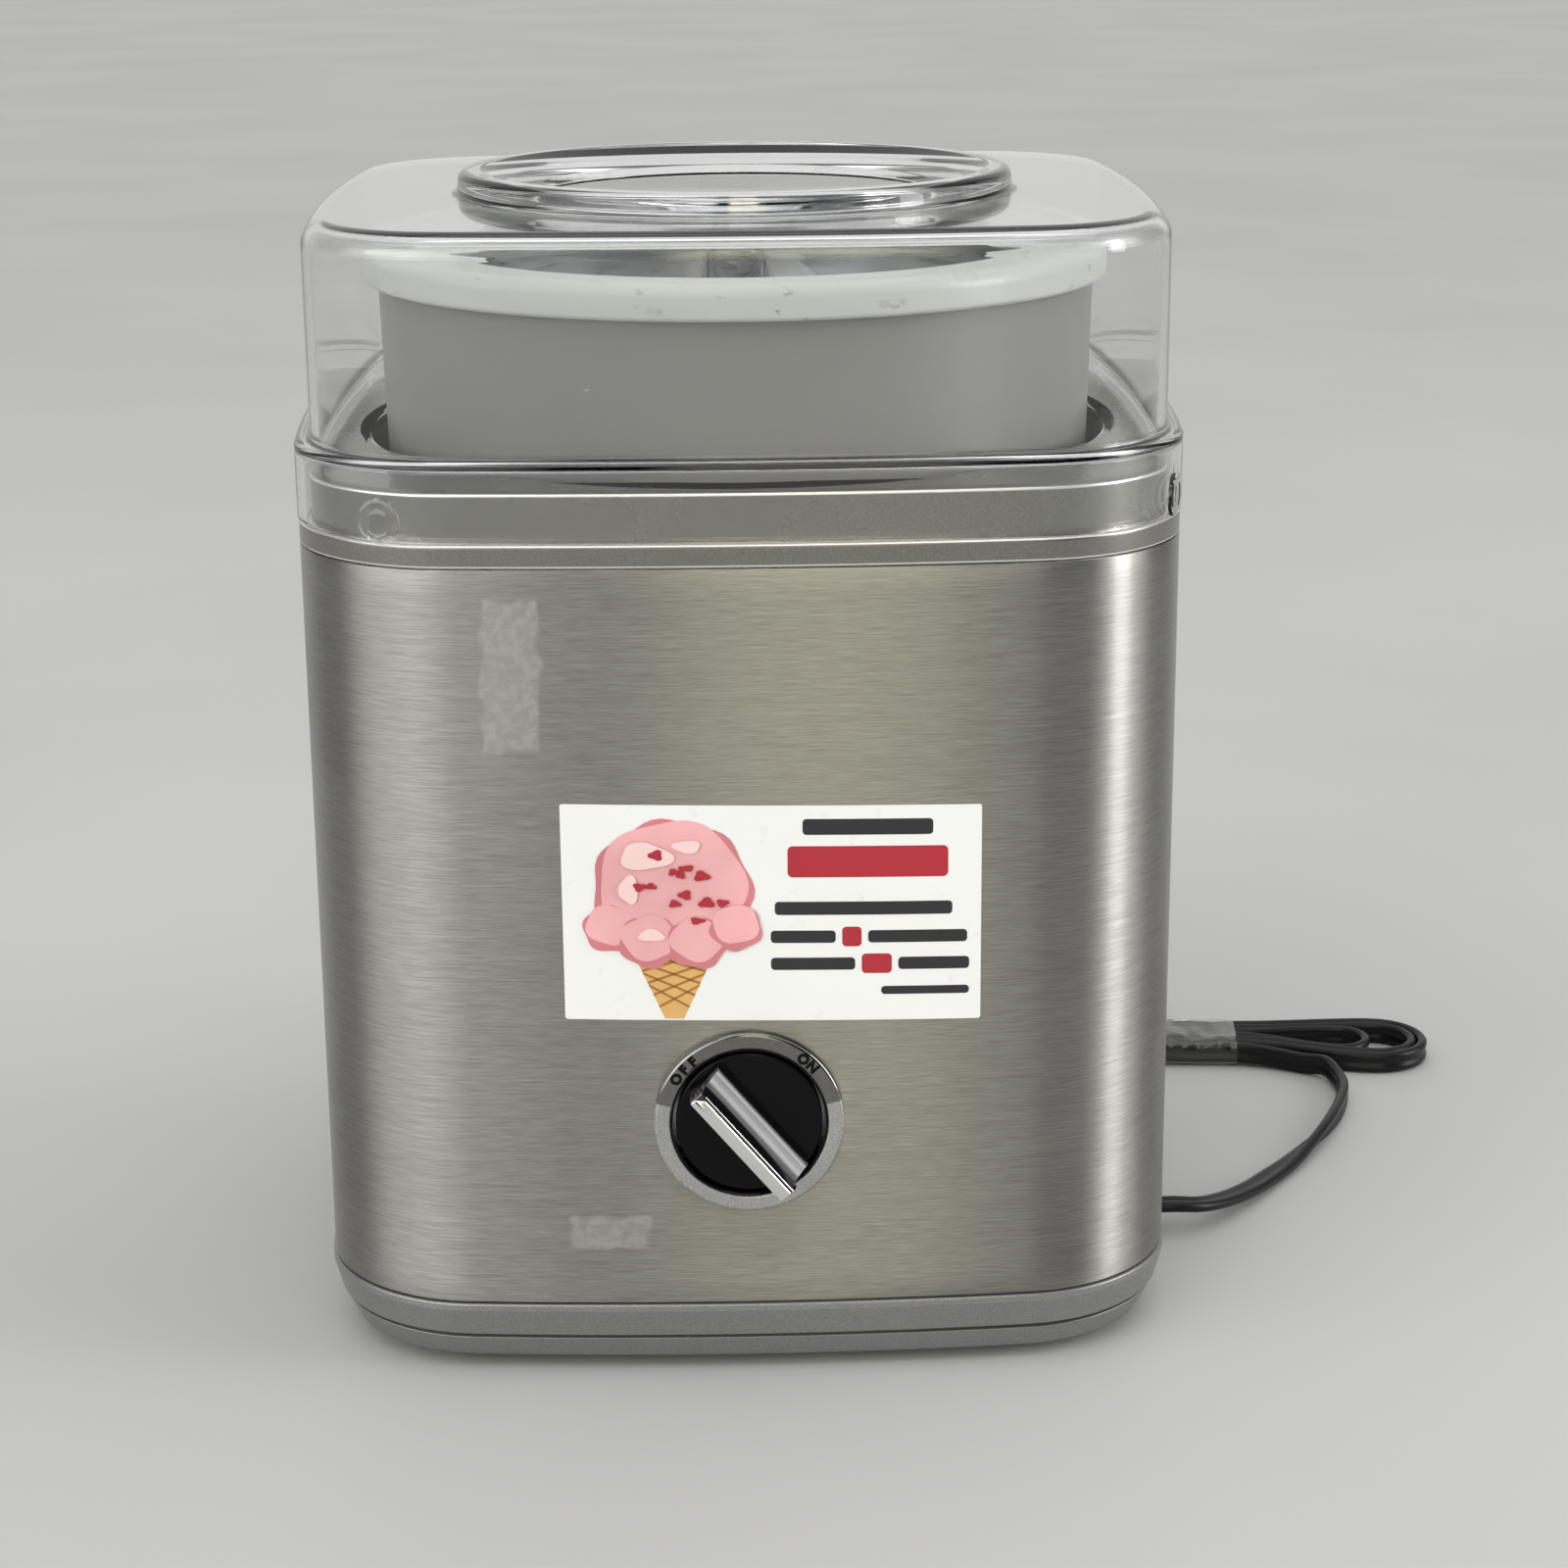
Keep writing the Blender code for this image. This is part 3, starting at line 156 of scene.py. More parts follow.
def arc(centre, radius, start, stop, steps):
    """Points on a circle between two angles in degrees, both ends among them."""
    angles = [math.radians(start + (stop - start) * step / steps) for step in range(steps + 1)]
    return [(centre[0] + radius * math.cos(a), centre[1] + radius * math.sin(a)) for a in angles]


def circle(radius, steps=96, centre=(0.0, 0.0)):
    return arc(centre, radius, 0, 360, steps)[:-1]


def corners(xy):
    """The points (-x, -y), (-x, y), (x, -y) and (x, y)."""
    return [(x, y) for x in (-xy[0], xy[0]) for y in (-xy[1], xy[1])]


def outline(inset, corner_steps=12, side_steps=20):
    """The housing's outline moved in by inset, anticlockwise from the middle of the back."""
    half_x, half_y, radius = HALF_X - inset, HALF_Y - inset, CORNER_R - inset
    back = Vector((0, half_y))
    previous, steps = back, side_steps // 2
    square = []
    for number, (sign_x, sign_y) in enumerate(((-1, 1), (-1, -1), (1, -1), (1, 1))):
        centre = (sign_x * (half_x - radius), sign_y * (half_y - radius))
        start = 90 * (number + 1)
        corner = [Vector(p) for p in arc(centre, radius, start, start + 90, corner_steps)]
        square += [previous.lerp(corner[0], step / steps) for step in range(steps)]
        square += corner[:-1]
        previous, steps = corner[-1], side_steps
    steps = side_steps // 2
    square += [previous.lerp(back, step / steps) for step in range(steps)]
    return [bowed(p, half_x, half_y) for p in square]


def bowed(point, half_x, half_y):
    """Pull the ends of each side in by BOW, and leave its middle where it is."""
    across, along = point.x / half_x, point.y / half_y
    pull_x = math.copysign(BOW * across ** 4 * along ** 2, point.x)
    pull_y = math.copysign(BOW * along ** 4 * across ** 2, point.y)
    return (point.x - pull_x, point.y - pull_y)


def front_y(x):
    """Where the steel's bowed front face is at x, between the corners."""
    return -(HALF_Y - BOW * (x / HALF_X) ** 2)


def circle_facing_outline(radius, *steps):
    """A circle whose points stand on the same rays as the housing outline's."""
    angles = [math.atan2(y, x) for x, y in outline(0, *steps)]
    return [(radius * math.cos(a), radius * math.sin(a)) for a in angles]


def rounded_rectangle(x0, x1, z0, z1, radius, steps=6):
    left, right, low, high = x0 + radius, x1 - radius, z0 + radius, z1 - radius
    points = []
    for number, centre in enumerate(((right, high), (left, high), (left, low), (right, low))):
        points += arc(centre, radius, 90 * number, 90 * number + 90, steps)
    return points


def squared_oval(angle, half_y, half_z, power):
    """The point at an angle on an oval, which a power under 1 squares off."""
    c, s = math.cos(angle), math.sin(angle)
    return math.copysign(half_y * abs(c) ** power, c), math.copysign(half_z * abs(s) ** power, s)


def at(points, z):
    return [(x, y, z) for x, y in points]


def rounded(profile, steps=5):
    """Turn each (a, z, radius) corner into an arc with a holding point on either side."""
    points = []
    for i, (a, z, radius) in enumerate(profile):
        here = Vector((a, z))
        if radius == 0 or i in (0, len(profile) - 1):
            points.append(here)
            continue
        back = Vector(profile[i - 1][:2]) - here
        ahead = Vector(profile[i + 1][:2]) - here
        half = back.angle(ahead) / 2
        reach = min(radius / math.tan(half), 0.45 * back.length, 0.45 * ahead.length)
        inwards = (back.normalized() + ahead.normalized()).normalized()
        centre = here + inwards * (reach * math.tan(half) / math.sin(half))
        start = here + back.normalized() * reach - centre
        end = here + ahead.normalized() * reach - centre
        sweep = math.copysign(math.pi - 2 * half, start.x * end.y - start.y * end.x)
        hold_back, hold_ahead = (min(0.8, 0.1 * way.length) for way in (back, ahead))
        points.append(here + back.normalized() * (reach + hold_back))
        for step in range(steps + 1):
            points.append(centre + Matrix.Rotation(sweep * step / steps, 2) @ start)
        points.append(here + ahead.normalized() * (reach + hold_ahead))
    return [(p.x, p.y) for p in points]


# ---- meshes

def in_machine(point):
    return (Vector(point) + AXIS) * MM


def on_panel(point):
    """x to the right, y up and z out of the front face, from the dial's centre."""
    x, y, z = point
    return in_machine((x, -HALF_Y - z, KNOB_Z + y))


def on_knob(point):
    """x along the handle, y across it and z out of the front face."""
    u, v, w = point
    along = Vector((math.cos(POINTER_ANGLE), math.sin(POINTER_ANGLE)))
    across = Vector((along.y, -along.x))
    flat = along * u + across * v
    return on_panel((flat.x, flat.y, w))


def in_hank(point):
    return in_machine(HANK_CENTRE + Matrix.Rotation(HANK_TILT, 3, 'Z') @ Vector(point))


def add(name, data):
    """A new object in the scene."""
    obj = bpy.data.objects.new(name, data)
    bpy.context.scene.collection.objects.link(obj)
    return obj


def piece(name, verts, faces, place=in_machine):
    mesh = bpy.data.meshes.new(name)
    mesh.from_pydata([place(v) for v in verts], [], faces)
    mesh.validate()
    face_outwards(mesh)
    return add(name, mesh)


def face_outwards(mesh):
    bm = bmesh.new()
    bm.from_mesh(mesh)
    bmesh.ops.recalc_face_normals(bm, faces=bm.faces)
    bm.to_mesh(mesh)
    bm.free()


def skin(name, rings, wrap=False, place=in_machine, open_ring=False):
    """Quads between equal rings; wrap joins the last ring to the first, else the ends are capped."""
    count = len(rings[0])
    verts = [p for ring in rings for p in ring]
    faces = []
    for band in range(len(rings) if wrap else len(rings) - 1):
        low, high = band * count, (band + 1) % len(rings) * count
        for i in range(count - 1 if open_ring else count):
            j = (i + 1) % count
            faces.append((low + i, low + j, high + j, high + i))
    if open_ring:
        for end in (0, count - 1):
            faces.append(tuple(band * count + end for band in range(len(rings))))
    elif not wrap:
        faces.append(tuple(range(count))[::-1])
        faces.append(tuple(range(len(verts) - count, len(verts))))
    return piece(name, verts, faces, place)


def turned(name, profile, steps=96, wrap=False, place=in_machine, centre=(0.0, 0.0)):
    """Turn (radius, height) points round an upright axis."""
    return skin(name, [at(circle(r, steps, centre), z) for r, z in profile], wrap, place)


def post(radius, bore, low, high, centre):
    """A hollow upright post."""
    profile = [(radius, low), (radius, high), (bore, high), (bore, low)]
    return turned("post", profile, 32, wrap=True, centre=centre)


def box(x, y, z, place=in_machine):
    corner = [(x[0], y[0]), (x[1], y[0]), (x[1], y[1]), (x[0], y[1])]
    return skin("box", [at(corner, z[0]), at(corner, z[1])], place=place)


def combine(obj, tools, operation='DIFFERENCE'):
    """Cut tools from obj, or add them to it."""
    tool = join(tools)
    modify(obj, 'BOOLEAN', operation=operation, object=tool)
    bpy.data.objects.remove(tool)


def evaluated_mesh(obj):
    evaluated = obj.evaluated_get(bpy.context.evaluated_depsgraph_get())
    return bpy.data.meshes.new_from_object(evaluated)


def modify(obj, kind, **settings):
    """Make what a modifier gives the object's own mesh."""
    modifier = obj.modifiers.new(kind, kind)
    for name, value in settings.items():
        setattr(modifier, name, value)
    mesh = evaluated_mesh(obj)
    obj.modifiers.clear()
    obj.data = mesh


def join(objects):
    """One object with all the meshes of the given ones."""
    bm = bmesh.new()
    for obj in objects:
        bm.from_mesh(obj.data)
    bm.to_mesh(objects[0].data)
    bm.free()
    for obj in objects[1:]:
        bpy.data.objects.remove(obj)
    return objects[0]


def soften(obj, width, segments=3, angle=30):
    """Round the edges that are sharper than angle degrees."""
    modify(obj, 'BEVEL', width=width * MM, segments=segments, limit_method='ANGLE',
           angle_limit=math.radians(angle))
    return obj


def show(obj, name, finish, body, slot, *replaces, sharp=28, even=False):
    """Name, shade and paint a finished piece that rides on a body; even keeps large faces flat."""
    obj.data.shade_smooth()
    obj.data.set_sharp_from_angle(angle=math.radians(sharp))
    if even:
        modify(obj, 'WEIGHTED_NORMAL', keep_sharp=True)
    obj.name = name
    obj.data.name = name
    obj.data.materials.append(FINISHES[finish])
    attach(obj, body)
    if replaces:
        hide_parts(*replaces)
    return obj


# ---- materials

def fill(tree, socket, value):
    """Link an output to a socket, or set the socket's own value."""
    if isinstance(value, bpy.types.NodeSocket):
        tree.links.new(value, socket)
    else:
        socket.default_value = value


def node(tree, kind, **inputs):
    """A new shader node with its inputs filled."""
    made = tree.nodes.new("ShaderNode" + kind)
    for name, value in inputs.items():
        fill(tree, made.inputs[name.replace("_", " ")], value)
    return made


def shader(name, colour, roughness, metallic=0.0, **constants):
    """A Principled material, with its tree ready for textures."""
    material = bpy.data.materials.new(name)
    material.use_nodes = True
    tree = material.node_tree
    surface = tree.nodes["Principled BSDF"]
    constants.update(Base_Color=(*colour, 1.0), Roughness=roughness, Metallic=metallic)
    for socket, value in constants.items():
        surface.inputs[socket.replace("_", " ")].default_value = value
    return material, tree, surface


def axes(tree, kind="Object"):
    """The x, y and z of a texture coordinate, in metres for the object's own."""
    where = node(tree, "TexCoord").outputs[kind]
    return node(tree, "SeparateXYZ", Vector=where).outputs


def grain(tree, scale, detail=3.0, stretch=(1.0, 1.0, 1.0)):
    """A noise over the object's own coordinates, in metres times stretch and scale."""
    where = node(tree, "TexCoord").outputs["Object"]
    where = node(tree, "Mapping", Vector=where, Scale=stretch).outputs["Vector"]
    return node(tree, "TexNoise", Vector=where, Scale=scale, Detail=detail).outputs["Fac"]


def spread(tree, value, low, high, to_low=0.0, to_high=1.0):
    """Map low..high to to_low..to_high, clamped."""
    ends = {"From_Min": low, "From_Max": high, "To_Min": to_low, "To_Max": to_high}
    return node(tree, "MapRange", Value=value, **ends).outputs["Result"]


def arithmetic(tree, operation, first, second):
    made = node(tree, "Math")
    made.operation = operation
    fill(tree, made.inputs[0], first)
    fill(tree, made.inputs[1], second)
    return made.outputs["Value"]


def times(tree, first, second):
    return arithmetic(tree, 'MULTIPLY', first, second)


def plus(tree, first, second):
    return arithmetic(tree, 'ADD', first, second)


def window(tree, value, low, high, edge=0.0006):
    """1 between low and high, soft at the ends."""
    rise = spread(tree, value, low - edge, low + edge)
    fall = spread(tree, value, high - edge, high + edge, 1.0, 0.0)
    return times(tree, rise, fall)


def scaled(colour, factor):
    return tuple(min(1.0, c * factor) for c in colour)


def blend_colours(tree, factor, low, high):
    """Colour low where factor is 0, high where it is 1; each is a colour or a socket."""
    made = node(tree, "Mix")
    made.data_type = 'RGBA'
    for index, value in ((0, factor), (6, low), (7, high)):
        fill(tree, made.inputs[index], (*value, 1.0) if isinstance(value, tuple) else value)
    return made.outputs[2]


def set_colour(tree, surface, factor, low, high):
    tree.links.new(blend_colours(tree, factor, low, high), surface.inputs["Base Color"])


def set_roughness(tree, surface, value, low, high, ends=(0.3, 0.7)):
    """Roughness from low to high as the value goes between its ends."""
    tree.links.new(spread(tree, value, *ends, low, high), surface.inputs["Roughness"])


def bump(tree, surface, height, strength, depth):
    made = node(tree, "Bump", Height=height, Strength=strength, Distance=depth * MM)
    tree.links.new(made.outputs["Normal"], surface.inputs["Normal"])


def plastic(name, colour, roughness, speckle=0.06, texture=(900.0, 0.12, 0.03), **constants):
    """Moulded plastic: a slight mottle in its colour and gloss, and a fine moulded texture."""
    material, tree, surface = shader(name, colour, roughness, **constants)
    mottle = spread(tree, grain(tree, 45.0), 0.3, 0.7)
    set_colour(tree, surface, mottle, scaled(colour, 1 - speckle), scaled(colour, 1 + speckle))
    set_roughness(tree, surface, grain(tree, 140.0), roughness * 0.88, min(1.0, roughness * 1.15))
    scale, strength, depth = texture
    bump(tree, surface, grain(tree, scale, 2.0), strength, depth)
    return material


def brushed_steel():
    """Steel with fine horizontal scratches, patches of old adhesive and a few dull marks."""
    material, tree, surface = shader("brushed_steel", (0.5, 0.5, 0.5), 0.36, 1.0, Anisotropic=1.0,
                                     Anisotropic_Rotation=0.25)
    fine = grain(tree, 1.0, 4.0, (150.0, 150.0, 5200.0))
    coarse = grain(tree, 1.0, 3.0, (60.0, 60.0, 2300.0))
    streaks = plus(tree, times(tree, fine, 0.7), times(tree, coarse, 0.3))
    shade = spread(tree, streaks, 0.36, 0.64)
    bare = blend_colours(tree, shade, (0.265, 0.26, 0.24), (0.40, 0.395, 0.37))
    ragged = times(tree, arithmetic(tree, 'SUBTRACT', grain(tree, 150.0, 5.0), 0.5), 0.005)
    where = axes(tree)
    x, z = plus(tree, where["X"], ragged), plus(tree, where["Z"], ragged)
    upper, lower = (
        times(tree, window(tree, x, x0 * MM, x1 * MM), window(tree, z, z0 * MM, z1 * MM))
        for x0, x1, z0, z1 in OLD_MARKS)
    patch = plus(tree, upper, times(tree, lower, 0.7))
    patch = times(tree, patch, spread(tree, where["Y"], 0.0, -0.02))
    patch = times(tree, patch, spread(tree, grain(tree, 420.0, 4.0), 0.42, 0.6, 0.35, 0.8))
    set_colour(tree, surface, patch, bare, (0.62, 0.615, 0.60))
    rough = spread(tree, streaks, 0.35, 0.65, 0.32, 0.40)
    dull = spread(tree, grain(tree, 16.0, 3.0), 0.56, 0.72, 0.0, 0.10)
    rough = plus(tree, plus(tree, rough, dull), times(tree, patch, 0.28))
    tree.links.new(rough, surface.inputs["Roughness"])
    tangent = node(tree, "Tangent")
    tangent.direction_type = 'RADIAL'
    tangent.axis = 'Z'
    tree.links.new(tangent.outputs["Tangent"], surface.inputs["Tangent"])
    bump(tree, surface, streaks, 0.12, 0.02)
    return material


def silver_paint(name, colour, roughness, metallic=0.82, flake=0.16, highlight_bands=()):
    """Metallic paint on plastic: fine flakes under a satin coat, with painted highlights at given heights.
    """
    material, tree, surface = shader(name, colour, roughness, metallic)
    flakes = spread(tree, grain(tree, 2600.0, 1.0), 0.35, 0.65)
    cloud = grain(tree, 30.0)
    tone = plus(tree, times(tree, flakes, 0.75), times(tree, cloud, 0.25))
    paint = blend_colours(tree, tone, scaled(colour, 1 - flake), scaled(colour, 1 + flake))
    # Painted highlights: near-white bands at the given heights stand in for the light caught by the
    # collar's rounded lip and shoulder edges.
    for low, high in highlight_bands:
        edge = window(tree, axes(tree)["Z"], low * MM, high * MM, 0.0001)
        paint = blend_colours(tree, edge, paint, (0.85, 0.85, 0.83))
    tree.links.new(paint, surface.inputs["Base Color"])
    set_roughness(tree, surface, cloud, roughness * 0.85, roughness * 1.2)
    bump(tree, surface, grain(tree, 1500.0, 1.0), 0.12, 0.02)
    return material


def clear_plastic(name, colour, roughness, ior, smudge=0.05):
    """Clear moulding with faint smudges, which lets light through to what it covers."""
    material, tree, surface = shader(name, colour, roughness, IOR=ior, Transmission_Weight=1.0)
    smears = grain(tree, 28.0, 5.0)
    set_roughness(tree, surface, smears, roughness, roughness + smudge, (0.52, 0.74))
    through = node(tree, "BsdfTransparent", Color=(0.9, 0.9, 0.9, 1.0))
    choose = node(tree, "MixShader", Fac=node(tree, "LightPath").outputs["Is Shadow Ray"])
    tree.links.new(surface.outputs["BSDF"], choose.inputs[1])
    tree.links.new(through.outputs["BSDF"], choose.inputs[2])
    tree.links.new(choose.outputs["Shader"], tree.nodes["Material Output"].inputs["Surface"])
    return material


def metal(name, colour, roughness, stretch=(1.0, 1.0, 1.0), scale=400.0, contrast=0.12):
    """Machined or plated metal with fine tool marks along the stretched direction."""
    material, tree, surface = shader(name, colour, roughness, 1.0)
    marks = spread(tree, grain(tree, scale, 3.0, stretch), 0.35, 0.65)
    set_colour(tree, surface, marks, scaled(colour, 1 - contrast), colour)
    set_roughness(tree, surface, marks, roughness * 0.8, roughness * 1.25, (0.0, 1.0))
    bump(tree, surface, marks, 0.1, 0.01)
    return material


def scuffed(name, colour, roughness, mark, stretch, amount):
    """Plastic with sparse scuff marks of another colour."""
    material, tree, surface = shader(name, colour, roughness)
    scuffs = spread(tree, grain(tree, 1.0, 6.0, stretch), amount, amount + 0.05)
    scuffs = times(tree, scuffs, spread(tree, grain(tree, 60.0, 2.0), 0.55, 0.68))
    mottle = spread(tree, grain(tree, 22.0), 0.3, 0.7)
    ground = blend_colours(tree, mottle, scaled(colour, 0.96), colour)
    set_colour(tree, surface, scuffs, ground, mark)
    set_roughness(tree, surface, mottle, roughness * 0.85, roughness * 1.15, (0.0, 1.0))
    bump(tree, surface, grain(tree, 1800.0, 1.0), 0.08, 0.015)
    return material


def striped(name, low, high, axis, per_metre, roughness, metallic):
    """Layers or windings: bands across one axis, with a matching bump."""
    material, tree, surface = shader(name, high, roughness, metallic)
    where = node(tree, "TexCoord").outputs["Object"]
    wave = node(tree, "TexWave", Vector=where, Scale=per_metre / 3.2, Distortion=0.4)
    wave.bands_direction = axis
    bands = wave.outputs["Fac"]
    set_colour(tree, surface, bands, low, high)
    set_roughness(tree, surface, grain(tree, 200.0), roughness * 0.85, roughness * 1.2)
    bump(tree, surface, bands, 0.6, 0.2)
    return material


def make_finishes():
    # Painted highlight bands along the collar's lip edges and shoulder edge, where light from above would
    # catch them.
    highlight_bands = ((LIP_BOTTOM - 0.3, LIP_BOTTOM + 0.5), (LIP_TOP - 0.45, LIP_TOP + 0.1),
              (COLLAR_TOP - 1.1, COLLAR_TOP - 0.5))
    rim_scuff, shell_scuff = (160.0, 160.0, 420.0), (260.0, 260.0, 520.0)
    black, smooth, drawn = (0.004, 0.004, 0.005), (300.0, 0.02, 0.01), (1.0, 1.0, 40.0)
    finishes = {
        "steel": brushed_steel(),
        "silver": silver_paint("silver_paint", (0.23, 0.225, 0.205), 0.26, highlight_bands=highlight_bands),
        "silver_base": silver_paint("silver_paint_base", (0.29, 0.29, 0.285), 0.38),
        "dial_silver": silver_paint("dial_silver", (0.44, 0.44, 0.435), 0.36, 0.9, 0.3),
        "dark_chrome": metal("dark_chrome", (0.21, 0.205, 0.19), 0.06, scale=900.0),
        "chrome": metal("chrome", (0.78, 0.78, 0.76), 0.06, scale=900.0, contrast=0.04),
        "lid": clear_plastic("lid_plastic", (0.955, 0.962, 0.958), 0.012, 1.5, 0.012),
        "paddle": clear_plastic("paddle_plastic", (0.95, 0.955, 0.95), 0.04, 1.46),
        "tape": clear_plastic("tape_film", (0.93, 0.93, 0.91), 0.06, 1.4, 0.12),
        "rim": scuffed("rim_plastic", (0.52, 0.535, 0.51), 0.3, (0.12, 0.11, 0.1), rim_scuff, 0.57),
        "shell": scuffed("shell_plastic", (0.225, 0.22, 0.21), 0.36, (0.5, 0.49, 0.47), shell_scuff, 0.70),
        "well": plastic("well_plastic", (0.12, 0.12, 0.122), 0.45),
        "gearbox": plastic("gearbox_plastic", (0.20, 0.20, 0.205), 0.5),
        "black": plastic("black_gloss", black, 0.08, texture=smooth, IOR=1.2),
        "black_bar": plastic("black_bar", black, 0.16, texture=smooth, IOR=1.62),
        "cord": plastic("cord_vinyl", (0.006, 0.006, 0.0065), 0.33, texture=(700.0, 0.2, 0.05), IOR=1.33),
        "rubber": plastic("foot_rubber", (0.02, 0.02, 0.02), 0.7, texture=(1200.0, 0.4, 0.06)),
        "acetal": plastic("acetal", (0.80, 0.79, 0.72), 0.34),
        "gel": plastic("coolant_gel", (0.20, 0.42, 0.66), 0.5),
        "liner": metal("drawn_aluminium", (0.72, 0.73, 0.74), 0.3, drawn, 30.0),
        "bright": metal("plated_steel", (0.72, 0.72, 0.70), 0.2),
        "brass": metal("brass", (0.72, 0.53, 0.24), 0.25),
        "iron": striped("laminations", (0.10, 0.10, 0.11), (0.34, 0.34, 0.36), 'Z', 2000.0, 0.42, 0.9),
        "copper": striped("copper_winding", (0.28, 0.09, 0.03), (0.72, 0.30, 0.12), 'X', 1800.0, 0.3, 0.8),
        "paper": plastic("label_film", (0.86, 0.86, 0.85), 0.3, 0.01, (500.0, 0.03, 0.01)),
    }
    inks = {
        "pink": ((0.82, 0.42, 0.43), 0.12), "rose": ((0.62, 0.20, 0.22), 0.12),
        "blush": ((0.90, 0.64, 0.62), 0.05), "brown": ((0.38, 0.16, 0.03), 0.1),
        "red": ((0.42, 0.02, 0.035), 0.05), "tan": ((0.70, 0.42, 0.14), 0.12),
        "ink": ((0.02, 0.02, 0.022), 0.05),
    }
    for ink, (colour, speckle) in inks.items():
        finishes[ink] = plastic(f"label_{ink}", colour, 0.32, speckle)
    return finishes


# ---- housing

def make_steel():
    """Sheet wrapped round from a seam at the back, with rolled edges and the dial's hole."""
    low, high, rows, seam = STEEL_LOW.z, STEEL_HIGH.z, 30, 0.25
    profile = [(0.35, low), (0.1, low + 0.1), (0, low + 0.4)]
    profile += [(0, low + (high - low) * row / rows) for row in range(1, rows)]
    profile += [(0, high - 0.4), (0.1, high - 0.1), (0.35, high), (STEEL_WALL, high), (STEEL_WALL, low)]
    rings = []
    for inset, z in profile:
        first, *others = outline(inset, 16, 40)
        rings.append(at([(-seam, first[1]), *others, (seam, first[1])], z))
    wrap = skin("steel", rings, wrap=True, open_ring=True)
    hole_r = BEZEL_HOLE_R + 1.9
    combine(wrap, [turned("hole", [(hole_r, -4), (hole_r, 4)], place=on_panel)])
    face_outwards(wrap.data)
    show(wrap, "brushed_steel_wrap", "steel", "base", "brushed_steel", "steel_wrap")


def make_collar():
    """Painted ring over the steel: a lip, a wall, a shoulder and the bowl's mouth, with screw posts."""
    outer = rounded([
        (1.1, LIP_BOTTOM, 0), (0, LIP_BOTTOM, 0.5), (0, LIP_TOP, 0.7),
        (COLLAR_INSET, LIP_TOP - 0.1, 0.4), (COLLAR_INSET, COLLAR_TOP - 0.5, 0.6),
        (COLLAR_INSET + 2, COLLAR_TOP, 1.2), (14, COLLAR_TOP, 0),
    ])
    mouth = WELL_R + 0.2
    opening = rounded([
        (mouth + 3.0, COLLAR_TOP, 0), (mouth + 1.6, COLLAR_TOP, 0.4), (mouth + 1.3, COLLAR_TOP - 0.9, 0.3),
        (mouth, COLLAR_TOP - 0.9, 0.5), (mouth, COLLAR_TOP - PLATE, 0),
    ])
    inner = [
        (COLLAR_INSET + 2.2, COLLAR_TOP - PLATE), (COLLAR_INSET + 2.2, LIP_TOP - 2),
        (3.3, LIP_BOTTOM - 4), (1.1, LIP_BOTTOM - 4),
    ]
    rings = [at(outline(a), z) for a, z in outer]
    rings += [at(circle_facing_outline(r), z) for r, z in opening]
    rings += [at(outline(a), z) for a, z in inner]
    parts = [skin("collar", rings, wrap=True)]
    parts += [post(5.0, 1.9, COLLAR_LOW.z, COLLAR_TOP - PLATE - 0.05, xy) for xy in corners(POST_XY)]
    show(join(parts), "top_collar_ring", "silver", "base", "silver_plastic", "top_collar")


def make_cover():
    """Tapered skirt with its groove, and the floor pan with vents, screw cups and the lead's way out."""
    floor_low, floor_high = COVER_LOW.z, COVER_LOW.z + 2.5
    profile = rounded([
        (20, floor_low, 0), (8.0, floor_low, 2.0), (4.6, 3.8, 2.2), (2.0, GROOVE_Z - 0.65, 0.2),
        (3.3, GROOVE_Z - 0.45, 0.15), (3.3, GROOVE_Z + 0.45, 0.15), (1.2, GROOVE_Z + 0.65, 0.2),
        (-0.5, BASE_TOP - 1.9, 1.2), (-0.5, BASE_TOP - 0.2, 0.5), (0.5, BASE_TOP, 0.3),
        (STEEL_WALL + GAP, BASE_TOP, 0), (STEEL_WALL + GAP, COVER_HIGH.z, 0),
        (STEEL_WALL + 2.5, COVER_HIGH.z, 0), (STEEL_WALL + 2.8, BASE_TOP, 0),
        (4.3, GROOVE_Z - 2, 0), (7.4, floor_high, 0), (20, floor_high, 0),
    ], 4)
    cover = skin("cover", [at(outline(a), z) for a, z in profile])
    cup = [(CUP_R, floor_low + 0.4), (CUP_R, COLLAR_LOW.z - GAP)]
    combine(cover, [turned("cup", cup, 40, centre=xy) for xy in corners(POST_XY)], 'UNION')
    screw_bore = [(4.3, 0), (4.3, 6.5), (1.9, 6.5), (1.9, 12)]
    foot_hole = [(3.4, 0), (3.4, floor_high + 1)]
    cuts = [turned("bore", screw_bore, 32, centre=xy) for xy in corners(POST_XY)]
    cuts += [turned("foot_hole", foot_hole, 32, centre=xy) for xy in corners(FOOT_XY)]
    for row in range(-2, 3):
        for side in (-1, 1):
            cuts.append(vent_slot(side * 34.0, row * 10.0, 20.0, 2.5, floor_high + 1))
    reach = 6.6
    cuts.append(box((82, HALF_X + 4), (LEAD_Y - reach, LEAD_Y + reach), (-1, LEAD_Z + reach)))
    combine(cover, cuts)
    show(cover, "bottom_cover_shell", "silver_base", "base", "silver_plastic", "bottom_cover", even=True)


def vent_slot(x, y, half_length, half_width, top):
    """A slot with round ends, as a cutter."""
    reach = half_length - half_width
    points = arc((x + reach, y), half_width, -90, 90, 8) + arc((x - reach, y), half_width, 90, 270, 8)
    return skin("slot", [at(points, 0), at(points, top)])


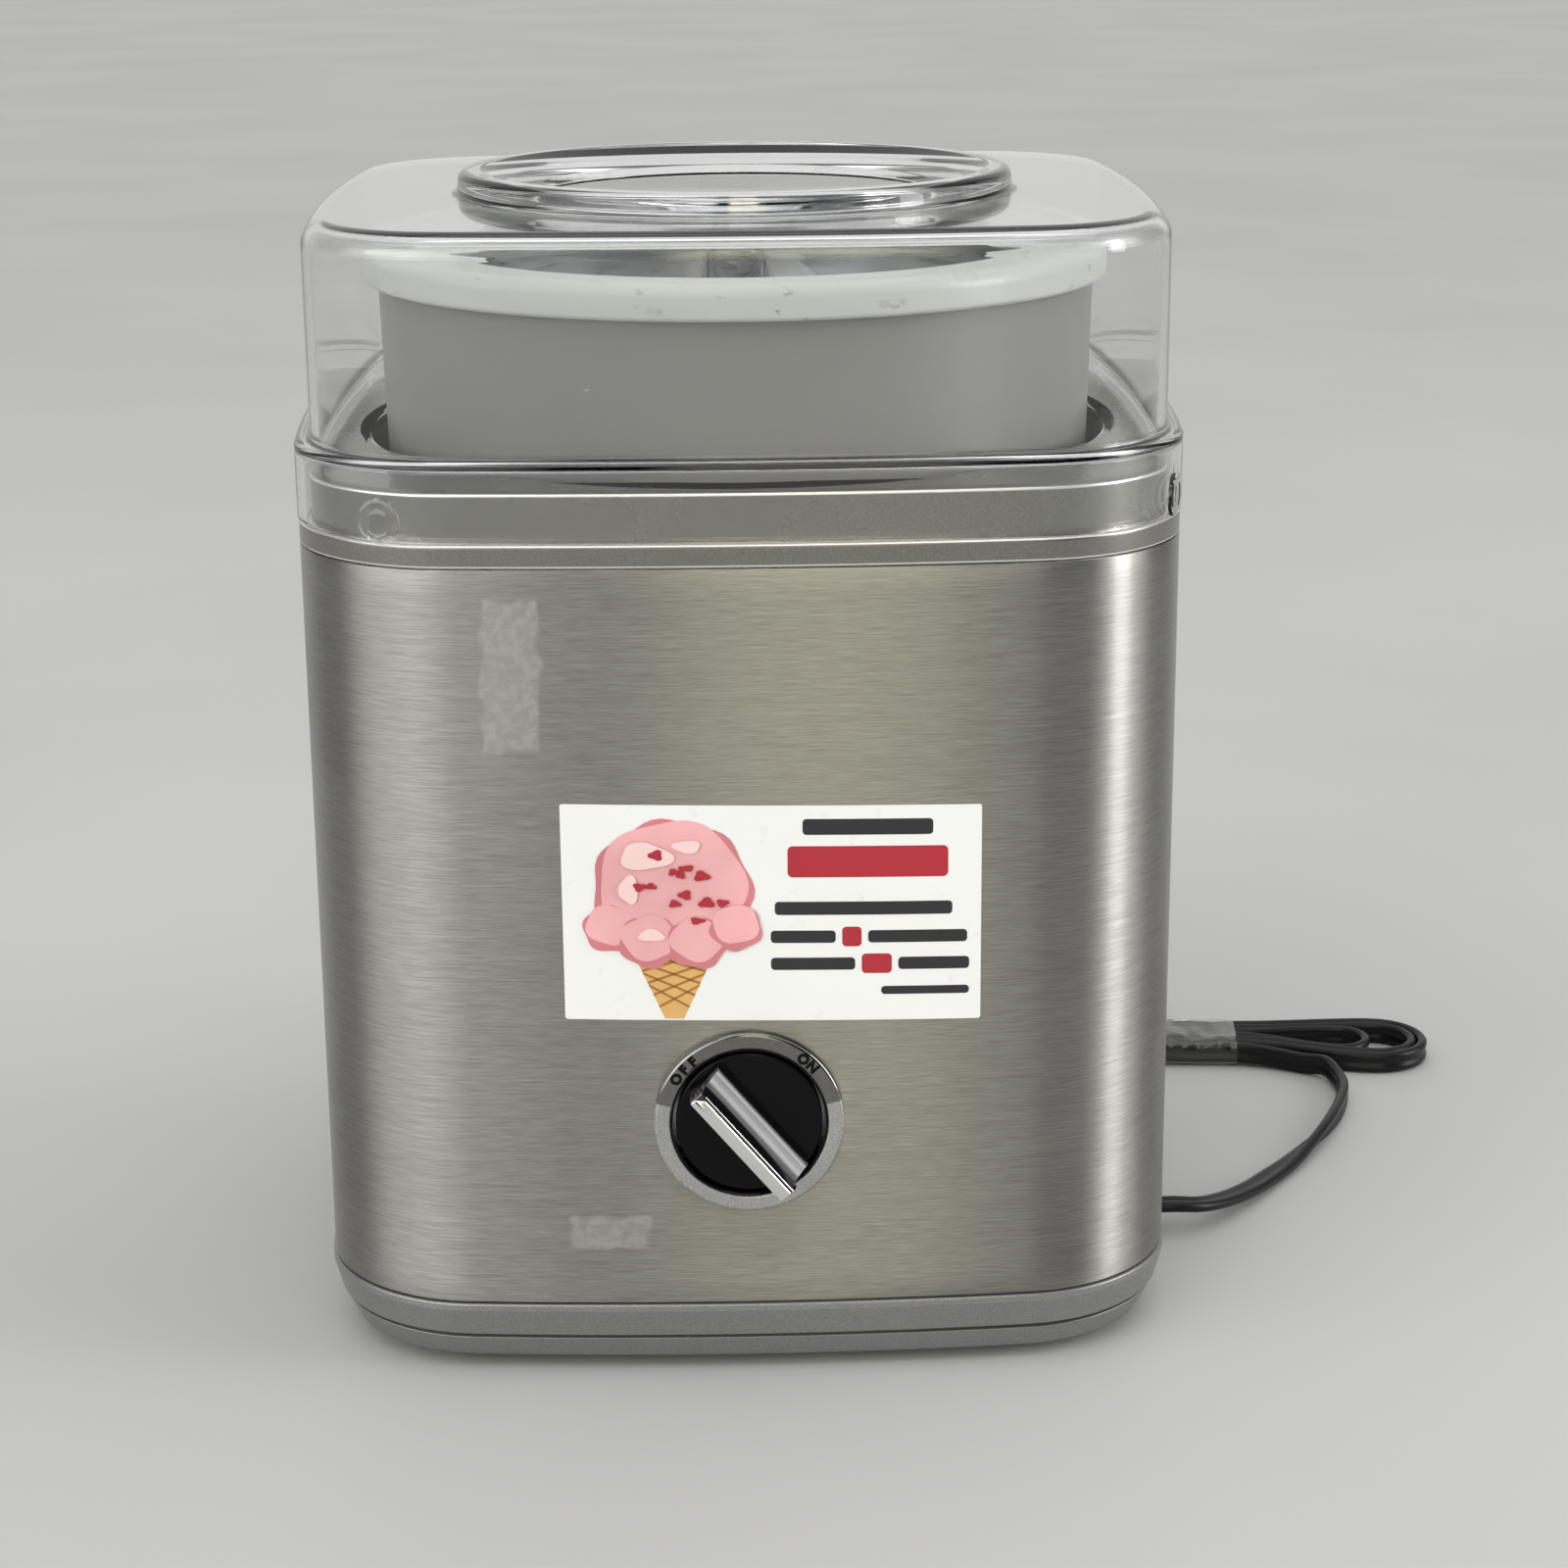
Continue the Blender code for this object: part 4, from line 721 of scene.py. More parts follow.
def make_well():
    """Cup that the bowl turns in, with the posts that hold the gearbox."""
    top, floor = WELL_HIGH.z, WELL_FLOOR_Z
    outside, hole = WELL_R + WELL_WALL, 8.3
    profile = rounded([
        (WELL_R, top, 0), (WELL_R, floor + 60, 0), (88.5, floor + 4, 4.0), (84.5, floor, 2.0),
        (hole, floor, 0.6), (hole, floor - 5, 0), (hole + 4, floor - 5, 0), (hole + 4, floor - 2, 0),
        (85.5, floor - 2, 2.0), (90.5, floor + 3, 4.0), (outside, floor + 60, 0),
        (outside, top - 2.6, 0), (WELL_R + 3, top - 2.6, 0), (WELL_R + 3, top, 0),
    ])
    parts = [turned("well", profile, 128, wrap=True)]
    for xy in ((38.0, -22.0), (6.0, 44.0), (-58.0, -8.0)):
        parts.append(post(4.5, 1.8, 90.1, floor - 2.05, xy))
    show(join(parts), "bowl_well_cup", "well", "base", "grey_plastic", "bowl_well")


def make_feet():
    pad_top = COVER_LOW.z - GAP
    profile = rounded([
        (5.0, 0.6, 0), (5.0, 0, 0.3), (8.5, 0, 0.7), (8.5, pad_top, 0.3), (3.0, pad_top, 0),
        (3.0, 5.3, 0), (4.2, 5.3, 0.3), (3.0, 6.8, 0.4), (1.0, 6.8, 0),
    ], 4)
    sides = ("left_front", "left_back", "right_front", "right_back")
    for side, xy in zip(sides, corners(FOOT_XY)):
        foot = turned("foot", profile, 48, centre=xy)
        show(foot, f"rubber_foot_{side}", "rubber", "base", "black_rubber", f"foot_{side}")


# ---- lid, bowl and paddle

def make_lid():
    """Clear cover with its skirt, wall and pouring ring, and four locating bosses in the skirt."""
    skirt_inner, wall_inner, under = LID_WALL - GAP, LID_INSET + LID_WALL, ROOF - LID_WALL
    outside = rounded([
        (1.2, LID_LOW.z, 0), (-0.3, LID_LOW.z, 0.5), (-0.3, SKIRT_TOP, 1.5),
        (LID_INSET, SKIRT_TOP + 0.2, 0.9), (LID_INSET, ROOF, 5.3), (16, ROOF, 0),
    ], 6)
    spout = rounded([
        (SPOUT_R + 5, ROOF, 0), (SPOUT_R + 0.6, ROOF, 1.2), (SPOUT_R, LID_HIGH.z, 2.4),
        (SPOUT_R - 5.2, LID_HIGH.z, 2.0), (SPOUT_R - 11.5, ROOF + 2.6, 3.0),
        (SPOUT_HOLE_R + 1.5, ROOF + 0.6, 0.9), (SPOUT_HOLE_R, ROOF - 1.0, 0.6),
        (SPOUT_HOLE_R, under, 0.6), (SPOUT_HOLE_R + 6, under, 0),
    ], 6)
    inside = rounded([
        (20, under, 0), (wall_inner, under, 3.2), (wall_inner, SKIRT_TOP - LID_WALL, 0.9),
        (skirt_inner, SKIRT_TOP - LID_WALL, 0.8), (skirt_inner, LID_LOW.z, 0),
    ], 6)
    rings = [at(outline(a, *LID_OUTLINE_STEPS), z) for a, z in outside]
    rings += [at(circle_facing_outline(r, *LID_OUTLINE_STEPS), z) for r, z in spout]
    rings += [at(outline(a, *LID_OUTLINE_STEPS), z) for a, z in inside]
    lid = skin("lid", rings, wrap=True)
    for tools in zip(*[boss_and_rib(quarter) for quarter in range(4)]):
        combine(lid, tools, 'UNION')
    face_outwards(lid.data)
    show(lid, "clear_lid_cover", "lid", "lid", "clear_plastic", "clear_lid", even=True)


def boss_and_rib(quarter):
    """A small round boss on the skirt near a corner, and the sloping rib beside it."""
    half_across, half_depth = (HALF_Y, HALF_X) if quarter % 2 else (HALF_X, HALF_Y)
    across, radius = half_across - BOSS_FROM_SIDE, CORNER_R + GAP
    tilt = math.asin((CORNER_R - BOSS_FROM_SIDE) / radius)
    depth = half_depth - CORNER_R + radius * math.cos(tilt) - BOW * (across / half_across) ** 2

    def place(point):
        x, y, z = point
        local = Matrix.Rotation(-tilt, 3, 'Z') @ Vector((x, -z, y)) + Vector((-across, -depth, BOSS_Z))
        return in_machine(Matrix.Rotation(math.radians(90) * quarter, 3, 'Z') @ local)

    profile = [(5.0, -0.9), (5.0, -0.02), (4.4, 0.22), (3.8, 0.26), (3.2, 0.08), (2.7, 0.06),
               (2.2, 0.24), (1.4, 0.3), (0.4, 0.26)]
    boss = turned("boss", profile, 48, place=place)
    low = [(4.2 + 1.5 * step, 2.4 + 0.5 * step) for step in range(7)]
    high = [(x, y + 1.1 - 0.07 * (x - 4.2)) for x, y in reversed(low)]
    sides = [[(x, y, z - x * x / (2 * radius)) for x, y in low + high] for z in (-1.0, 0.12)]
    return boss, skin("rib", sides, place=place)


def wall_radius(inset, z):
    """Radius at height z of the surface inset mm inside the bowl's outer wall."""
    taper = (z - SHELL_LOW.z) / (SHELL_HIGH.z - SHELL_LOW.z)
    return BOWL_FLOOR_R + (SHELL_HIGH.x - BOWL_FLOOR_R) * taper - inset


def cup_profile(outer, inner, floor, inner_floor, top, corner):
    return rounded([
        (20, floor, 0), (wall_radius(outer, floor), floor, corner), (wall_radius(outer, top), top, 0.3),
        (wall_radius(inner, top), top, 0.3), (wall_radius(inner, inner_floor), inner_floor, corner),
        (20, inner_floor, 0),
    ], 8)


def make_bowl():
    """Grey shell with the drive socket under it, drawn liner and the pale rim that joins them."""
    low, top = SHELL_LOW.z, SHELL_HIGH.z
    shell = turned("shell", cup_profile(0, SHELL_WALL, low, low + SHELL_WALL, top, 5.0), 160)
    socket_top = span("drive_hub")[1].z + 1.2
    boss = [(HUB_R + 4, low + 0.5), (HUB_R + 4, socket_top + SHELL_WALL)]
    combine(shell, [turned("boss", boss, 64)], 'UNION')
    combine(shell, [turned("socket", [(HUB_R + 0.7, low - 1), (HUB_R + 0.7, socket_top)], 6)])
    show(shell, "bowl_outer_shell", "shell", "bowl", "grey_plastic", "bowl_shell")
    floor, inner = LINER_LOW.z + LINER_WALL, LINER_INSET + LINER_WALL
    liner = turned("liner", cup_profile(LINER_INSET, inner, LINER_LOW.z, floor, LINER_HIGH.z, 8.0), 160)
    show(liner, "bowl_liner_cup", "liner", "bowl", "aluminium", "bowl_liner")
    inner_r, outer_r, seat = wall_radius(inner, top), RIM_HIGH.x, top + GAP
    rim = rounded([
        (SHELL_HIGH.x + 0.6, seat, 0), (SHELL_HIGH.x + 0.6, RIM_LOW.z, 0.3), (outer_r, RIM_LOW.z, 2.6),
        (outer_r, RIM_HIGH.z, 3.4), (outer_r - 7.5, RIM_HIGH.z, 0.6),
        (outer_r - 7.9, RIM_HIGH.z - 0.9, 0.3), (inner_r + 4.2, RIM_HIGH.z - 0.9, 1.2),
        (inner_r, RIM_HIGH.z - 3.0, 1.4), (inner_r, seat, 0),
    ], 7)
    rim = turned("rim", rim, 160, wrap=True)
    show(rim, "bowl_rim_ring", "rim", "bowl", "white_plastic", "bowl_rim")


def make_paddle():
    """Clear dasher: a flat blade with two windows and a hub in its middle."""
    inset, half = LINER_INSET + LINER_WALL + 2.0, 1.6
    low, top = PADDLE_LOW.z + 1.7, PADDLE_HIGH.z
    foot_r, top_r = wall_radius(inset + 3, low + 3), wall_radius(inset, top - 10)
    edge = rounded([
        (0, low, 0), (foot_r - 5, low, 3.0), (foot_r, low + 5, 3.0), (top_r, top - 10, 4.0),
        (top_r - 6, top, 3.0), (0, top, 0),
    ], 4)
    edge += [(-x, z) for x, z in reversed(edge[1:-1])]
    blade = skin("blade", [[(x, y, z) for x, z in edge] for y in (-half, half)])
    inner, outer = 9.0, foot_r - 11
    pane = rounded([
        (inner, low + 30, 0), (inner, low + 14, 4.0), (outer, low + 14, 4.0), (outer, top - 30, 4.0),
        (inner, top - 18, 4.0), (inner, low + 30.5, 0),
    ], 4)
    cuts = []
    for sign in (-1, 1):
        cuts.append(skin("pane", [[(sign * x, y, z) for x, z in pane] for y in (-half - 1, half + 1)]))
    combine(blade, cuts)
    hub = [(5.6, PADDLE_LOW.z), (7.0, PADDLE_LOW.z + 1.4), (7.0, top - 2.2), (5.8, top - 1.0)]
    combine(blade, [turned("hub", hub, 48)], 'UNION')
    soften(blade, 0.35, 2, 40)
    show(blade, "mixing_paddle_blade", "paddle", "paddle", "clear_plastic", "mixing_paddle")


# ---- dial

def make_dial():
    """Dial ring, dark inside, with a polished arc over its top, lettered OFF and ON."""
    back, sleeve_r = BEZEL_HOLE_R + 1.4, BEZEL_HOLE_R - 0.05
    ring = rounded([
        (back, GAP, 0), (BEZEL_R, GAP, 0), (BEZEL_R, BEZEL_OUT, 0.9), (BEZEL_HOLE_R, BEZEL_OUT, 0.4),
        (BEZEL_HOLE_R, -5.5, 0), (3.6, -5.5, 0), (3.6, -7.5, 0), (back, -7.5, 0),
    ])
    ring = turned("ring", ring, 128, wrap=True, place=on_panel)
    show(ring, "dial_ring_body", "dial_silver", "base", "silver_plastic", "dial_ring")
    sleeve = [(sleeve_r, -5.4), (sleeve_r, BEZEL_OUT - 0.25), (sleeve_r - 0.5, BEZEL_OUT - 0.4),
              (sleeve_r - 0.6, -5.4)]
    sleeve = turned("sleeve", sleeve, 128, wrap=True, place=on_panel)
    show(sleeve, "dial_inner_sleeve", "black", "base", "black_gloss")
    inner, outer, top = BEZEL_HOLE_R + 0.25, BEZEL_R + 0.06, BEZEL_OUT + 0.1
    section = rounded([
        (inner, top - 0.5, 0), (inner, top, 0.15), (outer, top, 0.9), (outer, 0.9, 0),
        (outer - 0.9, 0.9, 0),
    ])
    lines = [at(arc((0, 0), r, 14, 166.5, 72), w) for r, w in section]
    polished = skin("arc", list(zip(*lines)), place=on_panel)
    show(polished, "dial_polished_arc", "dark_chrome", "base", "bright_metal")
    letters = dial_word("OFF", 138, top) + dial_word("ON", 47, top)
    show(join(letters), "dial_letters", "black", "base", "black_gloss")


def dial_word(word, centre_degrees, top):
    """Raised letters set round the dial ring, upright where they stand."""
    size, pitch, radius, thick = 3.3, 8.2, BEZEL_HOLE_R + 0.7, 0.08
    letters = []
    for number, character in enumerate(word):
        curve = bpy.data.curves.new("letter", 'FONT')
        curve.body = character
        curve.align_x = 'CENTER'
        curve.size = size
        curve.extrude = thick / 2
        curve.offset = 0.22
        font = add("letter", curve)
        bpy.context.view_layer.update()
        mesh = evaluated_mesh(font)
        bpy.data.objects.remove(font)
        angle = math.radians(centre_degrees + ((len(word) - 1) / 2 - number) * pitch)
        turn = Matrix.Rotation(angle - math.radians(90), 3, 'Z')
        for vert in mesh.vertices:
            x, y, _ = turn @ Vector((vert.co.x, vert.co.y + radius, 0))
            vert.co = on_panel((x, y, top + thick / 2 + 0.01 + vert.co.z))
        letters.append(add("letter", mesh))
    return letters


def make_knob():
    """Gloss black knob: a flat dial with a bar handle across it, hollowed along one flank."""
    dial = rounded([
        (3.3, -4.8, 0), (DIAL_R, -4.8, 0), (DIAL_R, 2.3, 0.7), (DIAL_R - 1.3, 2.35, 0.2), (2.0, 2.35, 0),
    ])
    dial = turned("dial", dial, 128, place=on_panel)
    top, ridge = KNOB_OUT - 0.8, -0.35
    hollow = ((ridge, 0.6), (ridge + 0.15, 2.0), (0.2, 3.0), (0.65, 3.9), (1.4, 4.9), (2.3, 5.85),
              (3.2, 6.65), (3.9, 7.35), (4.3, 8.0), (4.55, 9.0), (4.6, 10.5))
    flank = [(-4.4, 1.0), (-4.4, top - 0.3), (-4.1, top), (ridge - 0.5, top), (ridge - 0.1, top - 0.2)]
    flank += [(v, top - depth) for v, depth in hollow]
    flank.append((4.6, 1.0))
    ends = [(HANDLE_HALF, 0.5), (HANDLE_HALF - 0.15, 0.2), (HANDLE_HALF - 0.5, 0.0)]
    rings = []
    for u, shrink in [(-u, shrink) for u, shrink in ends] + ends[::-1]:
        rings.append([(u, v - math.copysign(shrink, v), w - (shrink if w > 2 else 0)) for v, w in flank])
    bar = skin("bar", rings, place=on_knob)
    show(dial, "knob_dial_face", "black", "knob", "black_gloss", "knob_dial")
    show(bar, "knob_handle_bar", "black_bar", "knob", "black_gloss", sharp=24)
    make_strip(top + GAP - 0.15)


def make_strip(low):
    """Bright strip let into the handle's ridge, cut at a slant at its pointing end."""
    half = HANDLE_HALF - 0.2
    plan = [(-half, -4.3), (-half, -1.15), (half - 1.8, -1.15), (half, -2.9), (half, -4.3)]
    strip = soften(skin("strip", [at(plan, low), at(plan, KNOB_OUT)], place=on_knob), 0.45)
    edge = box((-half, half - 1.2), (-0.72, -0.40), (low, KNOB_OUT - 0.5), place=on_knob)
    strip = join([strip, soften(edge, 0.1)])
    show(strip, "knob_bright_strip", "chrome", "knob", "bright_metal", "knob_strip")


# ---- label

def film(name, points, lift, thick=0.03):
    """A thin film of that outline (x, z), laid a little crooked on the bowed front face."""
    bm = bmesh.new()
    bm.faces.new([bm.verts.new((x, 0, z)) for x, z in points])
    left, right = min(x for x, _ in points), max(x for x, _ in points)
    strip = 2.5
    for cut in range(math.ceil(left / strip), math.ceil(right / strip)):
        everything = bm.verts[:] + bm.edges[:] + bm.faces[:]
        bmesh.ops.bisect_plane(bm, geom=everything, plane_co=(cut * strip, 0, 0), plane_no=(1, 0, 0))
    raised = bmesh.ops.extrude_face_region(bm, geom=bm.faces[:], use_keep_orig=True)["geom"]
    for vert in (g for g in raised if isinstance(g, bmesh.types.BMVert)):
        vert.co.y = -thick
    for vert in bm.verts:
        x, y, z = vert.co
        vert.co = in_machine((x, front_y(x) - lift + y, z - LABEL_TILT * (x - LABEL_X[0])))
    bmesh.ops.recalc_face_normals(bm, faces=bm.faces)
    mesh = bpy.data.meshes.new(name)
    bm.to_mesh(mesh)
    bm.free()
    return add(name, mesh)


def oval(x, z, half_x, half_z, ripple, waves, steps=56):
    """An oval whose edge ripples a little."""
    points = []
    for step in range(steps):
        angle = math.tau * step / steps
        grow = 1 + ripple * math.sin(waves * angle + x)
        points.append((x + half_x * grow * math.cos(angle), z + half_z * grow * math.sin(angle)))
    return points


def make_label():
    """White label of our own design: a drawn cone beside bars of colour where words would be."""
    label = film("label", rounded_rectangle(*LABEL_X, *LABEL_Z, 0.6, 3), 0.04, 0.12)
    show(label, "front_label_film", "paper", "base", "white_plastic")
    layers = {ink: [] for ink in ("pink", "rose", "blush", "tan", "brown", "red", "ink")}

    def draw(ink, points, height=0.0):
        layers[ink].append(film(ink, points, 0.17 + height))

    x, z = -17.0, 125.0
    cone_top, cone_foot, cone_half, foot_half = z - 15.0, LABEL_Z[0] + 0.4, 10.0, 2.2

    def on_edge(side, t):
        half = foot_half + (cone_half - foot_half) * t
        return x + side * half, cone_foot + (cone_top - cone_foot) * t

    draw("tan", [on_edge(-1, 1), on_edge(1, 1), on_edge(1, 0), on_edge(-1, 0)])
    for side in (-1, 1):
        for step in range(1, 6):
            ax, az = on_edge(side, step / 6)
            bx, bz = on_edge(-side, min(1.0, step / 6 + 0.3))
            draw("brown", [(ax, az - 0.3), (bx, bz - 0.3), (bx, bz + 0.3), (ax, az + 0.3)], 0.04)
    draw("rose", oval(x, z - 1.0, 18.3, 16.6, 0.04, 7), 0.08)
    draw("pink", oval(x, z + 0.3, 16.9, 15.2, 0.04, 5), 0.12)
    lobes = ((-14.5, -10.0, 6.2), (-5.5, -13.0, 7.0), (5.5, -13.2, 6.8), (14.5, -9.5, 6.0))
    for number, (dx, dz, radius) in enumerate(lobes):
        height = 0.16 + number * 0.08
        draw("rose", oval(x + dx, z + dz - 0.7, radius, radius * 0.9, 0.06, 5), height)
        draw("pink", oval(x + dx, z + dz + 0.3, radius - 0.6, radius * 0.78, 0.06, 4), height + 0.04)
    lights = ((-6.0, 7.0, 6.0, 3.2), (3.5, 9.5, 3.2, 1.5), (-10.0, -1.0, 2.2, 3.4), (-5.0, -12.0, 3.0, 1.5))
    for dx, dz, half_x, half_z in lights:
        draw("blush", oval(x + dx, z + dz, half_x, half_z, 0.12, 3), 0.50)
    random.seed(4)
    for _ in range(12):
        angle, reach = random.uniform(0, math.tau), random.uniform(3, 14)
        spot = (x + reach * math.cos(angle), z + 0.8 * reach * math.sin(angle))
        draw("red", oval(*spot, random.uniform(0.8, 1.9), random.uniform(0.7, 1.3), 0.2, 3), 0.54)
    for ink, left, right, low, high, radius in (
            ("red", 9.5, 46.5, 127.0, 134.5, 1.2), ("red", 22.0, 26.5, 110.2, 115.0, 1.0),
            ("red", 26.5, 33.5, 103.6, 108.4, 1.0), ("ink", 13.0, 43.0, 137.2, 141.0, 0.9),
            ("ink", 6.5, 47.5, 117.9, 121.1, 0.9), ("ink", 5.5, 20.5, 111.1, 114.1, 0.9),
            ("ink", 28.0, 51.0, 111.1, 114.1, 0.9), ("ink", 5.5, 25.0, 104.5, 107.5, 0.9),
            ("ink", 35.0, 51.5, 104.5, 107.5, 0.9), ("ink", 31.0, 51.5, 98.4, 100.4, 0.9)):
        draw(ink, rounded_rectangle(left, right, low, high, radius))
    for ink, films in layers.items():
        show(join(films), f"front_label_{ink}", ink, "base", "white_plastic")


# ---- cord

def route_length(points):
    return sum((b - a).length for a, b in zip(points, points[1:]))


def smooth_route(points, spacing):
    """Evenly spaced points on a smooth curve through the given ones."""
    fine = []
    ends = [2 * points[0] - points[1]] + points + [2 * points[-1] - points[-2]]
    for a, b, c, d in zip(ends, ends[1:], ends[2:], ends[3:]):
        for step in range(12):
            t = step / 12
            bend = (2 * a - 5 * b + 4 * c - d) * t * t + (3 * b - a - 3 * c + d) * t ** 3
            fine.append(0.5 * (2 * b + (c - a) * t + bend))
    fine.append(points[-1])
    total = route_length(fine)
    count = round(total / spacing)
    route, walked = [fine[0]], 0.0
    for a, b in zip(fine, fine[1:]):
        length = (b - a).length
        while len(route) < count and walked + length >= total * len(route) / count:
            route.append(a.lerp(b, (total * len(route) / count - walked) / length))
        walked += length
    return route + [fine[-1]]


def free_strand():
    """The lead's route from the strain relief to the hank, which repeats part.py's power_cord."""
    rest = HANK_REST_Z
    return [Vector(p) for p in (
        (RELIEF_HIGH.x + GAP, LEAD_Y, LEAD_Z), (113.5, LEAD_Y, LEAD_Z), (119.5, -19.0, 7.2),
        (125.3, -14.0, 6.2), (131.2, -7.2, 5.2), (137.4, 0.8, 4.4), (144.2, 10.6, 3.8),
        (151.2, 20.6, rest), (158.0, 31.0, rest), (164.4, 41.6, rest), (169.6, 52.6, rest),
        (173.3, 63.4, rest), (174.9, 71.5, rest), (174.6, 79.6, rest + 0.2), (172.4, 87.1, rest + 0.8),
    )]


def ease(t):
    t = max(0.0, min(1.0, t))
    return t * t * (3 - 2 * t)


def half_turn(side, from_run, to_run, centre_x, radius, lift):
    """Hank points from the tape, round one end's loop and back to the tape, in the hank's frame."""
    waist_x = TAPE_X[1] if side > 0 else TAPE_X[0]
    start_y, end_y = from_run * RUN_PITCH, to_run * RUN_PITCH
    way = math.copysign(1, start_y - end_y)

    def leg(step, run_y, loop_y):
        out = ease(step / 4)
        return waist_x + (side * centre_x - waist_x) * step / 4, run_y + (loop_y - run_y) * out, out

    points = [(waist_x - side * 8, start_y, 0.0)]
    points += [leg(step, start_y, way * radius) for step in range(4)]
    points += [(side * (centre_x + x), way * y, 1.0) for x, y in arc((0, 0), radius, 90, -90, 6)]
    points += [leg(step, end_y, -way * radius) for step in (3, 2, 1, 0)]
    points.append((waist_x - side * 8, end_y, 0.0))
    rise = HANK_REST_Z + lift - HANK_WAIST_Z
    return [Vector((x, y, HANK_WAIST_Z + rise * out)) for x, y, out in points]


def hank_route():
    """Seven runs side by side under the tape, looped at both ends, then out under the left loops."""
    waist = HANK_WAIST_Z
    first = ((22.0, -15.6, HANK_REST_Z), (13.0, -11.6, 3.7), (4.0, -9.3, waist),
             (-6.0, -3 * RUN_PITCH, waist))
    last = ((-20, 0, waist), (-28, 0, 3.2), (-36, 0, 2.0), (-44, 0, 1.7), (-52, 0.3, 1.7),
            (-60, 0.8, 1.7), (PLUG_X - 4.5, 1.2, 2.6))
    route = [Vector(p) for p in first]
    for run, centre_x in ((3, LOOP_CENTRE_X), (2, LOOP_CENTRE_X), (1, LAST_LOOP_X)):
        radius = LOOP_R - (3 - run) * LOOP_PITCH
        route += half_turn(-1, -run, run, LOOP_CENTRE_X, radius, 3.2)
        route += half_turn(1, run, 1 - run, centre_x, radius, 0.1)
    route += [Vector(p) for p in last]
    tilt = Matrix.Rotation(HANK_TILT, 3, 'Z')
    return [HANK_CENTRE + tilt @ p for p in route]


def lead_section():
    """Two round cores joined by a web, as (across the width, across the thickness)."""
    core = LEAD_THICK / 2
    return arc((CORE_Y, 0), core, -144, 144, 8) + arc((-CORE_Y, 0), core, 36, 324, 8)


def make_cord():
    """The whole lead, swept along its route: flat near the machine, on edge from the bend on."""
    free = free_strand()
    route = smooth_route(free + hank_route(), 2.3)
    free_length, total = route_length(free), route_length(route)
    section = lead_section()
    rings, centres = [], []
    walked = 0.0
    for i, p in enumerate(route):
        if i:
            walked += (p - route[i - 1]).length
        tangent = (route[min(i + 1, len(route) - 1)] - route[max(i - 1, 0)]).normalized()
        on_edge = ease((walked - 0.34 * free_length) / (0.42 * free_length))
        on_edge *= 1 - ease((walked - (total - 55)) / 26)
        angle = math.radians(90) * on_edge
        side = tangent.cross(Vector((0, 0, 1))).normalized()
        up = side.cross(tangent).normalized()
        width = side * math.cos(angle) + up * math.sin(angle)
        thick = tangent.cross(width)
        centre = p.copy()
        if walked < free_length:
            low_enough = 0.1 + LEAD_THICK / 2 + CORE_Y * math.sin(angle)
            on_floor = (free[0].z - p.z) / (free[0].z - HANK_REST_Z)
            centre.z += (low_enough - HANK_REST_Z) * max(0.0, min(1.0, on_floor))
        centres.append(in_machine(centre))
        rings.append([centre + width * a + thick * b for a, b in section])
    cord = skin("cord", rings)
    show(cord, "mains_lead", "cord", "base", "black_rubber", "power_cord", "cord_hank", sharp=50)
    return cord, [tuple(p) for p in centres], total


def make_relief():
    """Ribbed sleeve that grips the lead where it leaves the floor pan."""
    ribs = ((4.3, -3.5, 0), (6.0, -3.2, 0.4), (6.0, -0.6, 0.4), (4.4, -0.3, 0), (4.4, 2.0, 0.3),
            (5.4, 2.3, 0.3), (5.2, 3.0, 0.3), (4.2, 3.3, 0.2), (4.1, 3.9, 0.2), (4.9, 4.2, 0.2),
            (4.7, 4.9, 0.2), (3.9, 5.2, 0.2))
    profile = [(3.9, RELIEF_LOW.x, 0)]
    profile += [(radius, COVER_FACE_X + out, corner) for radius, out, corner in ribs]
    profile.append((3.75, RELIEF_HIGH.x, 0))

    def place(point):
        y, z, x = point
        return in_machine((x, LEAD_Y + y, LEAD_Z + z))

    sleeve = turned("relief", rounded(profile, 3), 48, place=place)
    return show(sleeve, "cord_strain_relief", "cord", "base", "black_rubber", "strain_relief")


def make_tape():
    """Clear adhesive tape wrapped round the hank's waist and crumpled."""
    steps, columns = 72, 26
    half_y = 3 * RUN_PITCH + LEAD_THICK / 2 + 0.5
    low, high = 0.45, HANK_WAIST_Z + LEAD_WIDTH / 2 + 0.55
    middle, half_z = (low + high) / 2, (high - low) / 2
    layers = [(0.0, column) for column in range(columns + 1)]
    layers += [(0.28, column) for column in range(columns, -1, -1)]
    rings = []
    for out, column in layers:
        x = TAPE_X[0] + (TAPE_X[1] - TAPE_X[0]) * column / columns
        ring = []
        for step in range(steps):
            angle = math.tau * step / steps
            y, z = squared_oval(angle, half_y, half_z, 0.35)
            crease = noise.noise(Vector((x * 0.22, y * 0.26, z * 0.3 + 7)))
            crease += 0.35 * abs(noise.noise(Vector((x * 0.5 + y * 0.3, y * 0.4, z * 0.5))))
            puff = max(-0.15, crease) * (1.1 if z > -1 else 0.15) + out
            edge = 0.0
            if column in (0, columns):
                edge = 0.7 * noise.noise(Vector((column * 0.01, angle * 1.7, 3)))
            ring.append((x + edge, y + puff * math.cos(angle), middle + z + puff * math.sin(angle)))
        rings.append(ring)
    tape = skin("tape", rings, wrap=True, place=in_hank)
    return show(tape, "hank_tape_wrap", "tape", "base", "clear_plastic", "hank_tape", sharp=60)


